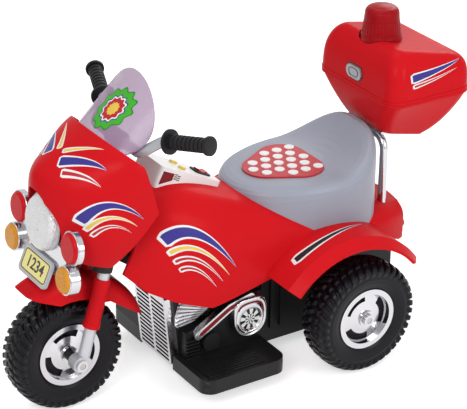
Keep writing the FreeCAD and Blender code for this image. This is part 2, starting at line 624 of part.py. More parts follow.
BASE_U, BASE_W = size("shield_base_u"), size(SHIELD_W)
CORNER_U, CORNER_W = size("shield_corner_u"), BASE_W - size("shield_corner_drop")
EDGE_U, EDGE_W = size("fairing_edge_u"), BASE_W - size("fairing_edge_drop")
FOOT_U, FOOT_W = size("fairing_foot_u"), size("crown_bottom + fairing_foot_rise")
SHIELD = in_steer(BASE_U, 0, BASE_W, Y_AXIS, -size("shield_lean"))
FAR = 400
LAMP_BACK = size("cluster_back - end_gap")
LAMP_ROOM = size("cup_wall")


def shield_band(spare):
    """Returns the bent sheet of the windshield, before its outline is cut, with room around it."""
    outer = size("shield_radius") + spare
    inner = size("shield_radius - shield_thickness") - spare
    centre = Vector(-size("shield_radius"), 0, -size("shield_tuck") - spare)
    front = Part.Arc(centre + Vector(0, outer, 0), centre + Vector(outer, 0, 0), centre - Vector(0, outer, 0))
    rear = Part.Arc(centre - Vector(0, inner, 0), centre + Vector(inner, 0, 0), centre + Vector(0, inner, 0))
    edges = [front.toShape(), Part.makeLine(front.EndPoint, rear.StartPoint), rear.toShape(),
             Part.makeLine(rear.EndPoint, front.StartPoint)]
    return pushed(Part.Wire(edges), Vector(0, 0, size("shield_height") * 1.5))


def shield_outline(spare):
    """Returns the oval outline of the windshield, pushed through its depth."""
    waist = size("shield_waist")
    tall, wide = size("shield_height") - waist, size("shield_half_width")
    back = -size("shield_radius")
    oval = smooth_ring([Vector(back, wide + spare, waist), Vector(back, 0, waist + tall + spare),
                        Vector(back, -wide - spare, waist), Vector(back, 0, waist - tall - spare)], [ROUND] * 4)
    return pushed(oval, Vector(FAR, 0, 0))


keep(solid("windshield", shield_band(0).common(shield_outline(0))), SHIELD)
slot = shield_band(size("shield_slot")).common(shield_outline(size("shield_slot")))
slot.Placement = STEER.inverse().multiply(SHIELD)
slope = (BASE_W - CORNER_W) / (BASE_U - CORNER_U)
cockpit = side_prism([(BASE_U + FAR, BASE_W + FAR * slope), (CORNER_U, CORNER_W), (EDGE_U, EDGE_W),
                      (FOOT_U, FOOT_W), (FOOT_U, FOOT_W - FAR), (-FAR, FOOT_W - FAR),
                      (-FAR, BASE_W + FAR), (BASE_U + FAR, BASE_W + FAR)], FAR)
floor = side_prism([(FOOT_U, FOOT_W), (FAR, FOOT_W + 8), (FAR, 0), (FOOT_U, 0)], FAR)
recess = Part.makeBox(FAR, 2 * FAR, FAR, Vector(LAMP_BACK, -FAR, size("arm_high_z") + 4 - FAR))
arch = Part.makeCylinder(size("head_low_radius + bezel_width") + LAMP_ROOM, FAR,
                         Vector(LAMP_BACK, 0, size("head_low_z")), X_AXIS)
crest = Part.makeCylinder(size("head_top_radius + bezel_width") + LAMP_ROOM, FAR,
                          Vector(LAMP_BACK, 0, size("head_top_z")), X_AXIS)
room = [arch, crest]
for side in (1, -1):
    room.append(Part.makeCylinder(size("red_radius + cup_wall") + LAMP_ROOM, FAR,
                                  Vector(LAMP_BACK, side * size("red_y"), size("red_z")), X_AXIS))
recess = recess.fuse(room)
recess.Placement = STEER.inverse().multiply(LAMPS)
fairing = cut_solid(fairing_form(0), fairing_form(size("fairing_wall")), cockpit, floor, slot, recess)
keep(solid("fairing", fairing), STEER)


# Lamp cluster: chrome bezel of the head lamp, arms and cups, in the frame of the lamps.
cluster = new_body("lamp_cluster")
outline = new_sketch(cluster, "YZ_Plane", "cluster_back")
egg(outline, Vector(0, size("head_low_z"), 0), ("0", "head_low_z", "head_low_radius + bezel_width"),
    Vector(0, size("head_top_z"), 0), ("0", "head_top_z", "head_top_radius + bezel_width"))
pad(cluster, outline, "cluster_plate")
arms = new_sketch(cluster, "YZ_Plane", "cluster_back")
rectangle(arms, "-arm_half", "arm_low_z", "arm_half", "arm_high_z", "crown_round")
pad(cluster, arms, "cluster_plate")
cups = []
for y, z, radius, face in (("red_y", "red_z", "red_radius", "red_face"),
                           ("amber_y", "amber_z", "amber_radius", "amber_face")):
    cup = new_sketch(cluster, "YZ_Plane", "cluster_back")
    circle(cup, y, z, radius + " + cup_wall")
    cups.append(pad(cluster, cup, f"{face} - cluster_back"))
mirrored(cluster, cups, "XZ_Plane")
seats = []
for y, z, radius, face in (("red_y", "red_z", "red_radius", "red_face"),
                           ("amber_y", "amber_z", "amber_radius", "amber_face")):
    seat_hole = new_sketch(cluster, "YZ_Plane", face)
    circle(seat_hole, y, z, radius + " + cup_fit")
    seats.append(pocket(cluster, seat_hole, "lens_seat"))
mirrored(cluster, seats, "XZ_Plane")
keep(cluster, LAMPS)

bracket = Part.makeBox(FAR, size("bracket_half_width") * 2, size("crown_thickness") - 2 * END_GAP,
                       Vector(size("crown_front"), -size("bracket_half_width"), size("crown_bottom") + END_GAP))
lamp_side = Part.makeBox(FAR, FAR, 2 * FAR, Vector(size("cluster_back"), -FAR / 2, -FAR))
lamp_side.Placement = STEER.inverse().multiply(LAMPS)
keep(solid("fairing_bracket", bracket.cut(lamp_side)), STEER)

lens = new_body("head_lamp")
outline = new_sketch(lens, "YZ_Plane", "cluster_back + cluster_plate")
egg(outline, Vector(0, size("head_low_z"), 0), ("0", "head_low_z", "head_low_radius"),
    Vector(0, size("head_top_z"), 0), ("0", "head_top_z", "head_top_radius"))
block = pad(lens, outline, "head_depth")
FRONT_FACE = size("cluster_back + cluster_plate + head_depth")
rounded(lens, block, "head_edge_round",
        lambda edge: all(abs(v.X - FRONT_FACE) < 0.01 for v in edge.Vertexes))
keep(lens, LAMPS)


def make_lenses(label, y, z, radius, face):
    """Adds the pair of round lamp lenses that sit in their cups."""
    part = new_body(label)
    disc = new_sketch(part, "YZ_Plane", f"{face} - lens_seat")
    circle(disc, y, z, radius)
    block = pad(part, disc, "lens_seat + lens_bulge")
    front = size(f"{face} + lens_bulge")
    dome = rounded(part, block, "lens_round", lambda edge: abs(edge.BoundBox.XMin - front) < 0.01)
    mirrored(part, [block, dome], "XZ_Plane")
    keep(part, LAMPS)


make_lenses("red_lamp_lenses", "red_y", "red_z", "red_radius", "red_face")
make_lenses("amber_lamp_lenses", "amber_y", "amber_z", "amber_radius", "amber_face")

PLATE = place(size("plate_x"), 0, size("plate_z"), Y_AXIS, -size("plate_tilt"))
frame = new_body("plate_frame")
outline = new_sketch(frame, "YZ_Plane", "-plate_frame_thickness")
rectangle(outline, "-(plate_half_width + plate_frame_width)", "-(plate_half_height + plate_frame_width)",
          "plate_half_width + plate_frame_width", "plate_half_height + plate_frame_width",
          "plate_round + plate_frame_width")
pad(frame, outline, "plate_frame_thickness")
tray = new_sketch(frame, "YZ_Plane")
rectangle(tray, "-plate_half_width", "-plate_half_height", "plate_half_width", "plate_half_height",
          "plate_round")
pocket(frame, tray, "plate_thickness")
keep(frame, PLATE)
plate = new_body("number_plate")
outline = new_sketch(plate, "YZ_Plane", "-plate_thickness")
rectangle(outline, "-(plate_half_width - cup_fit)", "-(plate_half_height - cup_fit)",
          "plate_half_width - cup_fit", "plate_half_height - cup_fit", "plate_round - cup_fit")
pad(plate, outline, "plate_thickness - end_gap")
keep(plate, PLATE)

# Handlebar with its clamp on the stem, and two flanged grips.
END = Vector(size("bar_end_u"), size("bar_end_v"), size(f"{BAR_W} + bar_end_rise"))
RISE = Vector(size("bar_rise_u"), size("bar_rise_v"), size(f"{BAR_W} + bar_rise"))
FLAT = Vector(0, size("bar_half_flat"), size(BAR_W))


def flipped(point):
    return Vector(point.x, -point.y, point.z)


bar = tube([flipped(END), flipped(RISE), flipped(FLAT), FLAT, RISE, END], size("bar_radius"), size("bar_bend"))
keep(solid("handlebar", bar), STEER)
clamp = new_body("handlebar_clamp")
outline = new_sketch(clamp, "XZ_Plane")
circle(outline, "0", BAR_W, "bar_clamp_radius")
circle(outline, "0", BAR_W, "bar_radius + slip_fit")
pad(clamp, outline, "bar_clamp_half * 2", both=True)
keep(clamp, STEER)


def make_grip(label, end, rise):
    """Adds a ribbed grip that starts at the end of the bar and runs inwards."""
    part = new_body(label)
    section = new_sketch(part, "XZ_Plane")
    bore = "bar_radius + slip_fit"
    pitch = "(grip_length - grip_flange * 2) / (grip_rib_count * 2)"
    corners = [(bore, "0"), ("grip_end_radius", "0"), ("grip_end_radius", "grip_flange")]
    for rib in range(int(size("grip_rib_count"))):
        low = f"grip_flange + {2 * rib} * {pitch}"
        high = f"grip_flange + {2 * rib + 1} * {pitch}"
        corners += [("grip_radius - grip_rib", low), ("grip_radius - grip_rib", high),
                    ("grip_radius", high), ("grip_radius", f"{high} + {pitch}")]
    corners += [("grip_flange_radius", "grip_length - grip_flange"), ("grip_flange_radius", "grip_length"),
                (bore, "grip_length")]
    polygon(section, [corners[0], corners[1], corners[2]] + corners[3:])
    revolve(part, section)
    keep(part, STEER.multiply(Placement(end, Rotation(Z_AXIS, rise - end))))


make_grip("grip_left", END, RISE)
make_grip("grip_right", flipped(END), flipped(RISE))

# Chassis: a black moulded tub with a footboard on each side.
tub = new_body("chassis")
outline = new_sketch(tub, "XZ_Plane")
polygon(outline, [
    ("tub_front_x", "tub_floor_z"), ("tub_front_top_x", "tub_top_z"), ("tub_rear_x", "tub_top_z"),
    ("tub_rear_x", "tub_rear_cut_z"), ("tub_rear_cut_x", "tub_floor_z")])
pad(tub, outline, "tub_half_width * 2", both=True)
boards = new_sketch(tub, "XY_Plane", "tub_floor_z")
polygon(boards, [
    ("board_front_x", "-board_half_width", "board_round"), ("board_front_x", "board_half_width", "board_round"),
    ("board_rear_x", "board_half_width", "board_round"), ("board_rear_x", "-board_half_width", "board_round")])
pad(tub, boards, "board_top_z - tub_floor_z")
hollow = new_sketch(tub, "XZ_Plane")
polygon(hollow, [
    ("tub_front_x - tub_wall", "tub_floor_z + tub_wall"), ("tub_front_top_x - tub_wall", "tub_top_z + tub_wall"),
    ("tub_rear_x + tub_wall", "tub_top_z + tub_wall"), ("tub_rear_x + tub_wall", "tub_rear_cut_z + tub_wall"),
    ("tub_rear_cut_x + tub_wall", "tub_floor_z + tub_wall")])
pocket(tub, hollow, "(tub_half_width - tub_wall) * 2", both=True)
under = new_sketch(tub, "XY_Plane", "tub_floor_z")
for side in ("", "-"):
    rectangle(under, "board_rear_x + board_wall", f"{side}(tub_half_width)", "board_front_x - board_wall",
              f"{side}(board_half_width - board_wall)", "board_wall")
pocket(tub, under, "board_top_z - tub_floor_z - board_wall", back=True)
for rib_x in ("front_rib_x", "rear_rib_x"):
    wall = new_sketch(tub, "YZ_Plane", f"{rib_x} - tub_wall / 2")
    rectangle(wall, "-(tub_half_width - tub_wall / 2)", "tub_floor_z + tub_wall / 2",
              "tub_half_width - tub_wall / 2", "tub_top_z")
    pad(tub, wall, "tub_wall")
ribs = new_sketch(tub, "XY_Plane", "board_top_z - 1")
rectangle(ribs, "tread_rear_x", "tread_inner_y", "tread_front_x", "tread_inner_y + tread_rib_width")
rib = pad(tub, ribs, "tread_rib_height + 1")
along(tub, rib, "Y_Axis", "tread_outer_y - tread_inner_y - tread_rib_width", "tread_rib_count")
for side, name in ((1, "tub_half_width"), (-1, "-tub_half_width")):
    post = new_sketch(tub, "XY_Plane", "board_top_z")
    rectangle(post, "side_rib_front_x - side_rib_width", f"{name} - {side}",
              "side_rib_front_x", f"{name} + {side} * side_rib_height")
    upright = pad(tub, post, "tub_top_z - board_top_z - tub_wall")
    along(tub, upright, "X_Axis", "side_rib_pitch * (side_rib_count - 1)", "side_rib_count", back=True)
notch = new_sketch(tub, "XZ_Plane")
polygon(notch, [
    ("tub_front_x", "tub_floor_z"), ("board_front_x + tub_wall", "tub_floor_z"),
    ("board_front_x + tub_wall", "board_top_z"),
    ("tub_front_x + (tub_front_top_x - tub_front_x) * (board_top_z - tub_floor_z) / (tub_top_z - tub_floor_z)",
     "board_top_z")])
pocket(tub, notch, "(grille_half_width + 1) * 2", both=True)
axle_hole = new_sketch(tub, "XZ_Plane")
circle(axle_hole, "front_axle_x - wheelbase", "tyre_radius", PRESS)
pocket(tub, axle_hole, both=True)
keep(tub)

# Radiator grille on the sloping front of the tub.
grille_lean = math.degrees(math.atan2(size("tub_front_top_x - tub_front_x"), size("tub_top_z - tub_floor_z")))
grille = new_body("radiator_grille")
outline = new_sketch(grille, "YZ_Plane")
rectangle(outline, "-grille_half_width", "grille_bottom", "grille_half_width", "grille_bottom + grille_height",
          "grille_border")
pad(grille, outline, "grille_depth")
slots = new_sketch(grille, "YZ_Plane", "grille_depth")
for side in ("", "-"):
    rectangle(slots, f"{side}(grille_rib / 2)", "grille_bottom + grille_border",
              f"{side}(grille_half_width - grille_border)", "grille_bottom + grille_border + slot_height")
cuts = pocket(grille, slots, "grille_depth - grille_border / 2")
along(grille, cuts, "Z_Axis", "slot_pitch * (slot_count - 1)", "slot_count")
keep(grille, place(size("tub_front_x"), 0, size("tub_floor_z"), Y_AXIS, grille_lean))

# Neck: a web on the tub that carries the head tube of the steering.
HEAD_LOW = size("crown_bottom + crown_thickness + head_bottom_gap")
HEAD_HIGH = HEAD_LOW + size("head_length")
head_foot = STEER.multVec(Vector(0, 0, HEAD_LOW + 6))
head_brow = STEER.multVec(Vector(0, 0, HEAD_HIGH - 6))
TUB_TOP = size("tub_top_z")
web = side_prism([
    (size("front_rib_x - tub_wall"), TUB_TOP), (size("tub_front_top_x"), TUB_TOP), (head_foot.x, head_foot.z),
    (head_brow.x, head_brow.z), (size("front_rib_x"), TUB_TOP + size("head_length"))], size("head_radius"))
web_hole = side_prism([
    (size("front_rib_x") + 16, TUB_TOP + 18), (size("tub_front_top_x") - 4, TUB_TOP + 18),
    (head_foot.x - 34, head_foot.z - 6), (head_brow.x - 34, head_brow.z - 26),
    (size("front_rib_x") + 16, TUB_TOP + size("head_length") - 22)], FAR)
head = Part.makeCylinder(size("head_radius"), size("head_length"), Vector(0, 0, HEAD_LOW), Z_AXIS)
bore = Part.makeCylinder(size("stem_radius + running_fit"), FAR, Vector(0, 0, HEAD_LOW - FAR / 2), Z_AXIS)
head.Placement = STEER
bore.Placement = STEER
shroud = Part.makeBox(FAR, FAR, FAR, Vector(0, -FAR / 2, HEAD_LOW - FAR / 2))
shroud.Placement = STEER
swing = math.radians(size("steer_angle"))
crown_reach = size("crown_back") / math.cos(swing) + size("head_radius") * math.tan(swing) + 2 * END_GAP
crown_room = Part.makeBox(FAR, FAR, HEAD_LOW - size("crown_bottom") + END_GAP,
                          Vector(-crown_reach, -FAR / 2, size("crown_bottom") - END_GAP))
crown_room.Placement = STEER
keep(solid("neck", cut_solid(web.cut(shroud).cut(crown_room).cut(web_hole).fuse(head), bore)))

# Body shell: cross sections of the tank, seat base and tail along X, rounder above the widest
# level than below it, with a flared arch over each rear wheel.
BODY_STATIONS = [
    # x, half width, top, widest level
    (292, 46, 352, 300), (250, 74, 388, 300), (200, 97, 408, 295), (140, 113, 402, 280),
    (80, 118, 380, 268), (20, 117, 352, 262), (-50, 117, 330, 258), (-130, 118, 306, 252),
    (-220, 112, 282, 240), (-300, 92, 264, 228), (-343, 72, 254, 220),
]
BODY_BOTTOM, CROWN_FULLNESS, SIDE_FULLNESS = 90, 0.66, 0.84
# Lower edge of the shell from the steering head to the tail: x, z.
SHELL_HEM = [(330, 325), (286, 280), (232, 226), (180, 198), (110, 172), (-15, 200), (-290, 200), (-330, 178),
             (-400, 172)]


def body_section(x, half, top, widest, inset):
    wide = half - inset
    points = [Vector(x, wide, widest), Vector(x, 0, top - inset), Vector(x, -wide, widest),
              Vector(x, 0, BODY_BOTTOM - inset)]
    return smooth_ring(points, [CROWN_FULLNESS, CROWN_FULLNESS, SIDE_FULLNESS, SIDE_FULLNESS])


def body_form(inset, front=0, rear=0):
    """Returns the tank and tail as one solid, drawn in by an inset."""
    rows = list(BODY_STATIONS)
    rows[0] = (rows[0][0] + front,) + rows[0][1:]
    rows[-1] = (rows[-1][0] + rear,) + rows[-1][1:]
    return Part.makeLoft([body_section(*row, inset) for row in rows], True, False)


def arch_sector(profile, side):
    """Returns a sector about the arch's centre from a profile of (y, radius)."""
    centre = Vector(size("arch_x"), 0, size("arch_z"))
    points = [centre + Vector(radius, side * y, 0) for y, radius in profile]
    face = Part.Face(Part.makePolygon(points + points[:1]))
    face.rotate(centre, Vector(0, -1, 0), size("arch_front_angle"))
    block = face.revolve(centre, Vector(0, -1, 0), size("arch_rear_angle - arch_front_angle"))
    return block if block.Volume > 0 else block.reversed()


ARCH_IN = size("arch_inner_y")
ARCH_OUT, ARCH_SHOULDER = size("arch_outer_y"), size("arch_shoulder_y")
ARCH_TOP, ARCH_EDGE = size("arch_radius"), size("arch_edge_radius")
WALL = size("shell_wall")


def arch_form(side, grow):
    return arch_sector([(ARCH_IN, ARCH_EDGE / 2), (ARCH_OUT + grow, ARCH_EDGE / 2),
                        (ARCH_OUT + grow, ARCH_EDGE + grow), (ARCH_SHOULDER, ARCH_TOP + grow),
                        (ARCH_IN, ARCH_TOP + grow)], side)


def arch_void(side):
    lip = ARCH_EDGE - size("arch_lip")
    return arch_sector([(ARCH_IN + WALL, ARCH_EDGE / 4), (ARCH_OUT + 5, ARCH_EDGE / 4), (ARCH_OUT + 5, lip),
                        (ARCH_OUT - WALL, lip), (ARCH_OUT - WALL, ARCH_EDGE - WALL / 2),
                        (ARCH_SHOULDER - WALL / 2, ARCH_TOP - WALL), (ARCH_IN + WALL, ARCH_TOP - WALL)], side)


outer = body_form(0)
below = side_prism(SHELL_HEM + [(-FAR, 0), (SHELL_HEM[0][0], 0)], FAR)
tip = -size("shell_front_gap")
wing, wing_y = tip - size("shell_front_slant"), size("shell_front_wide")
before = prism([Vector(u, v, -FAR / 2) for u, v in (
    (tip, 0), (wing, wing_y), (wing, FAR), (FAR, FAR), (FAR, -FAR), (wing, -FAR), (wing, -wing_y))],
    Vector(0, 0, 2 * FAR))
before.Placement = STEER
bosses = []
for x, y in (("front_rib_x", "boss_y"), ("rear_rib_x", "rear_boss_y")):
    for side in (1, -1):
        post = Part.makeCylinder(size("boss_radius"), FAR, Vector(size(x), side * size(y), TUB_TOP), Z_AXIS)
        bosses.append(post.common(outer))
shell = outer.cut(body_form(WALL, front=40, rear=WALL)).fuse([arch_form(1, 0), arch_form(-1, 0)])
shell = cut_solid(shell, below, before, arch_void(1), arch_void(-1)).fuse(bosses)
for side in (1, -1):
    shell = shell.cut(Part.makeCylinder(size("carrier_radius + carrier_room"), FAR,
                                        Vector(size("carrier_x"), side * size("carrier_half"), 0), Z_AXIS))
keep(solid("body_shell", shell))
GAP = size("seat_gap")
clear_of_body = body_form(-GAP).fuse([arch_form(1, GAP), arch_form(-1, GAP)])

# Seat: egg-shaped rings, from the skirt over the rim into the dish. The rim climbs to the backrest.
SEAT_RINGS = [
    # share of the plan, height from the rim, share of the backrest's rise
    (1.0, -22, 1.0), (0.99, -11, 1.0), (0.968, -4, 1.0), (0.93, 0, 1.0), (0.87, 2, 0.95), (0.79, 3, 0.8),
    (0.70, 3.5, 0.58), (0.61, 4, 0.38), (0.52, 4, 0.22), (0.40, 4, 0.08), (0.25, 4, 0.0),
]
SEAT_FRONT_FULLNESS, SEAT_REAR_FULLNESS = 0.56, 0.68
SEAT_RIM_SHARE, SEAT_DISH_DROP, SEAT_SHOULDER = 0.9, 1.6, 0.2


def seat_ring(share, level, rise, inset):
    """Returns one ring: level at the front and sides, climbing in an S-curve to the back."""
    centre = size("seat_centre_x")
    front = Vector(centre + share * size("seat_front_x - seat_centre_x") - inset, 0, level)
    rear = Vector(centre + share * size("seat_rear_x - seat_centre_x") + inset, 0, level + rise)
    half = share * size("seat_half_width") - inset
    edges = []
    for side in (1, -1):
        flank = Vector(centre, side * half, level)
        edges.append(bent(front, Vector(0, side, 0), flank, -X_AXIS, SEAT_FRONT_FULLNESS))
        reach = (centre - rear.x) * SEAT_REAR_FULLNESS
        back = Part.BezierCurve()
        back.setPoles([flank, flank - Vector(reach, 0, 0),
                       rear + Vector(0, side * half * SEAT_REAR_FULLNESS, rise * SEAT_SHOULDER), rear])
        edges.append(back.toShape())
    return Part.Wire([edges[0], edges[1], edges[3], edges[2]])


def seat_form(inset):
    """Returns the seat as one solid; an inset draws in its skirt and lowers its dish."""
    rings = [seat_ring(1, size("seat_base_z") - inset, 0, inset)]
    for share, lift, climb in SEAT_RINGS:
        on_rim = share > SEAT_RIM_SHARE
        level = size("seat_rim_z") + lift - inset * (1 if on_rim else SEAT_DISH_DROP)
        rings.append(seat_ring(share, level, climb * size("seat_back_rise"), inset if on_rim else 0))
    return Part.makeLoft(rings, True, True)


def pad_prism(spare, low, high):
    """Returns the rounded triangle of the seat pad between two heights."""
    turn = size("pad_round")
    front, rear = size("pad_front_x") - turn, size("pad_rear_x") + turn
    half = size("pad_half_width") - turn
    core = Part.makePolygon([Vector(front, 0, low), Vector(rear, half, low), Vector(rear, -half, low),
                             Vector(front, 0, low)])
    return pushed(core.makeOffset2D(turn + spare), Vector(0, 0, high - low))


PAD_LOW = size("pad_floor_z")
PAD_HIGH = size("pad_floor_z + pad_thickness")
seat = seat_form(0).cut(seat_form(size("seat_wall"))).cut(clear_of_body)
seat = max(seat.Solids, key=lambda block: block.Volume)
tray = pad_prism(size("pad_fit") + size("seat_wall"), PAD_LOW - size("seat_wall"), PAD_LOW + 2)
seat = seat.fuse(tray.common(seat_form(0))).cut(pad_prism(size("pad_fit"), PAD_LOW, PAD_HIGH + 40))
keep(solid("seat", seat))
keep(solid("seat_pad", pad_prism(0, PAD_LOW, PAD_HIGH)))
dots = []
pitch = size("dot_pitch")
for row, count in ((-2, 3), (-1, 4), (0, 5), (1, 4), (2, 3)):
    for step in range(count):
        x = size("dot_rear_x") + pitch * (step + 0.5 * (row % 2))
        y = row * pitch * math.sin(math.radians(60))
        dots.append(Part.makeCylinder(size("dot_radius"), size("dot_height"), Vector(x, y, PAD_HIGH), Z_AXIS))
keep(solid("seat_pad_dots", Part.makeCompound(dots)))

# Control console on the tank, with its switch and two sound buttons.
deck = new_body("console_block")
outline = new_sketch(deck, "XY_Plane", "-console_depth")
polygon(outline, [
    ("console_front", "console_front_half", "console_round"), ("console_back", "console_back_half", "console_round"),
    ("console_back", "-console_back_half", "console_round"),
    ("console_front", "-console_front_half", "console_round")])
pad(deck, outline, "console_depth")
hollow = new_sketch(deck, "XY_Plane", "-console_depth")
polygon(hollow, [
    ("console_front - console_wall", "console_front_half - console_wall"),
    ("console_back + console_wall", "console_back_half - console_wall"),
    ("console_back + console_wall", "-(console_back_half - console_wall)"),
    ("console_front - console_wall", "-(console_front_half - console_wall)")])
pocket(deck, hollow, "console_depth - console_wall", back=True)
holes = new_sketch(deck, "XY_Plane")
for side in ("", "-"):
    y = f"{side}button_half_gap"
    stadium(holes, "button_at", y, "button_at + button_long - button_short", y, "button_short + button_fit")
rectangle(holes, "switch_at - switch_half_length", "-switch_half_width", "switch_at + switch_half_length",
          "switch_half_width")
pocket(deck, holes, "console_wall * 2")
deck.Placement = CONSOLE
doc.recompute()
console = deck.Shape.cut(clear_of_body)
keep(solid("control_console", max(console.Solids, key=lambda block: block.Volume)))

for number, side in ((1, ""), (2, "-")):
    button = new_body(f"sound_button_{number}")
    outline = new_sketch(button, "XY_Plane", "-button_stem")
    y = f"{side}button_half_gap"
    stadium(outline, "button_at", y, "button_at + button_long - button_short", y, "button_short")
    pad(button, outline, "button_stem + button_height")
    keep(button, CONSOLE)

bezel = new_body("switch_bezel")
outline = new_sketch(bezel, "XY_Plane")
rectangle(outline, "switch_at - switch_half_length - bezel_border", "-(switch_half_width + bezel_border)",
          "switch_at + switch_half_length + bezel_border", "switch_half_width + bezel_border", "bezel_border")
pad(bezel, outline, "bezel_height")
opening = new_sketch(bezel, "XY_Plane")
rectangle(opening, "switch_at - switch_half_length", "-switch_half_width", "switch_at + switch_half_length",
          "switch_half_width")
pocket(bezel, opening, back=True)
pivot = new_sketch(bezel, "XZ_Plane")
circle(pivot, "switch_at", "bezel_height / 2", "switch_pivot_radius / 2 + running_fit")
pocket(bezel, pivot, "(switch_half_width + bezel_border / 2) * 2", both=True)
keep(bezel, CONSOLE)

rocker = new_body("power_switch")
outline = new_sketch(rocker, "XZ_Plane")
polygon(outline, [
    ("switch_at - switch_half_length + switch_fit * 3", "bezel_height * 2"), ("switch_at", "bezel_height + 0.5"),
    ("switch_at + switch_half_length - switch_fit * 3", "bezel_height * 2"),
    ("switch_at + switch_half_length / 2", "-bezel_height", "bezel_height / 2"),
    ("switch_at - switch_half_length / 2", "-bezel_height", "bezel_height / 2")])
pad(rocker, outline, "(switch_half_width - switch_fit) * 2", both=True)
pins = new_sketch(rocker, "XZ_Plane")
circle(pins, "switch_at", "bezel_height / 2", "switch_pivot_radius / 2")
pad(rocker, pins, "(switch_half_width + bezel_border / 2 - switch_fit) * 2", both=True)
keep(rocker, CONSOLE)


# Engine dress on both sides of the tub: block with clutch and cylinder, fins, exhaust arm and cover.
SIDE = place(0, size("tub_half_width"), 0)
FACE = place(0, size("tub_half_width + engine_plate"), 0)

block = new_body("engine_block")
outline = new_sketch(block, "XZ_Plane")
polygon(outline, [
    ("engine_rear_x", "engine_low_z"), ("engine_front_x", "engine_low_z"), ("engine_front_x", "engine_front_z"),
    ("engine_step_x", "engine_step_z"), ("engine_high_x", "engine_high_z"), ("engine_rear_x", "engine_high_z")])
pad(block, outline, "engine_plate", back=True)
clutch = new_sketch(block, "XZ_Plane")
circle(clutch, "clutch_x", "clutch_z", "clutch_radius")
pad(block, clutch, "clutch_depth", back=True)
fin = new_sketch(block, "XZ_Plane")
rectangle(fin, "cylinder_back_x", "engine_low_z", "engine_front_x", "engine_low_z + cylinder_rib")
ribs = pad(block, fin, "cylinder_depth", back=True)
along(block, ribs, "Z_Axis", "cylinder_pitch * (cylinder_count - 1)", "cylinder_count")
block.Placement = SIDE
pair("engine_blocks", block)


def fan_outline(drawing):
    """Draws the sheet that carries the fan of fins: a sector about the fan's centre."""
    inner, outer = size("fan_inner"), size("fan_outer")
    sweep = math.radians(size("fan_sweep"))
    origin = Vector(0, 0, 0)
    near = Part.ArcOfCircle(Part.Circle(origin, Z_AXIS, inner), 0, sweep)
    far = Part.ArcOfCircle(Part.Circle(origin, Z_AXIS, outer), 0, sweep)
    drawing.addGeometry(near, False)
    drawing.addGeometry(far, False)
    drawing.addGeometry(Part.LineSegment(near.EndPoint, far.EndPoint), False)
    drawing.addGeometry(Part.LineSegment(far.StartPoint, near.StartPoint), False)
    for one, one_end, two, two_end in ((0, 2, 2, 1), (2, 2, 1, 2), (1, 1, 3, 1), (3, 2, 0, 1)):
        drawing.addConstraint(Sketcher.Constraint("Coincident", one, one_end, two, two_end))
    for arc, radius in ((0, "fan_inner"), (1, "fan_outer")):
        drawing.addConstraint(Sketcher.Constraint("Coincident", arc, 3, -1, 1))
        at = drawing.addConstraint(Sketcher.Constraint("Radius", arc, size(radius)))
        drawing.setExpression(f"Constraints[{at}]", bind(radius))
        drawing.addConstraint(Sketcher.Constraint("PointOnObject", arc, 1, -1))
    for arc, radius in ((0, "fan_inner"), (1, "fan_outer")):
        value = size(radius) * math.sin(sweep)
        at = drawing.addConstraint(Sketcher.Constraint("DistanceY", -1, 1, arc, 2, value))
        drawing.setExpression(f"Constraints[{at}]", bind(radius) + " * sin(dims.fan_sweep * 1 deg)")


fan = new_body("engine_fan")
sheet = new_sketch(fan, "XZ_Plane")
fan_outline(sheet)
pad(fan, sheet, "fan_base", back=True)
blade = new_sketch(fan, "XZ_Plane")
rectangle(blade, "fan_inner", "0", "fan_outer", "fan_rib")
ray = pad(fan, blade, "fan_depth", back=True)
around(fan, ray, "Y_Axis", "fan_count", "fan_sweep").Reversed = True
fan.Placement = SIDE.multiply(place(size("fan_x"), 0, size("fan_z"), Y_AXIS, -size("fan_start")))
pair("engine_fins", fan)

arm = new_body("exhaust_arm")
outline = new_sketch(arm, "XZ_Plane")
stadium(outline, "arm_front_x", "arm_front_z", "arm_knee_x", "arm_knee_z", "arm_radius")
pad(arm, outline, "arm_depth", back=True)
outline = new_sketch(arm, "XZ_Plane")
stadium(outline, "arm_knee_x", "arm_knee_z", "arm_back_x", "arm_back_z", "arm_radius")
pad(arm, outline, "arm_depth", back=True)
arm.Placement = FACE
pair("exhaust_arms", arm)

cover = new_body("engine_cover")
section = new_sketch(cover, "XY_Plane")
polygon(section, [
    ("0", "0"), ("cover_radius", "0"), ("cover_radius", "cover_depth / 2"),
    ("cover_face_radius + cover_recess * 2", "cover_depth"), ("cover_face_radius", "cover_depth"),
    ("cover_face_radius - cover_recess", "cover_depth - cover_recess"), ("0", "cover_depth - cover_recess")])
revolve(cover, section)
cover.Placement = FACE.multiply(place(size("cover_x"), 0, size("cover_z")))
pair("engine_covers", cover)

# Drive: battery and motor in the tub, gearbox outside its right wall.
battery = doc.addObject("Part::Box", "battery")
battery.setExpression("Length", bind("battery_length"))
battery.setExpression("Width", bind("battery_width"))
battery.setExpression("Height", bind("battery_height"))
keep(battery, place(size("battery_rear_x"), -size("battery_width") / 2, size("tub_floor_z + tub_wall")))
rod("drive_motor", "motor_radius", "motor_length",
    place(size("motor_x"), -size("tub_half_width - tub_wall"), AXLE_Z, X_AXIS, -90))

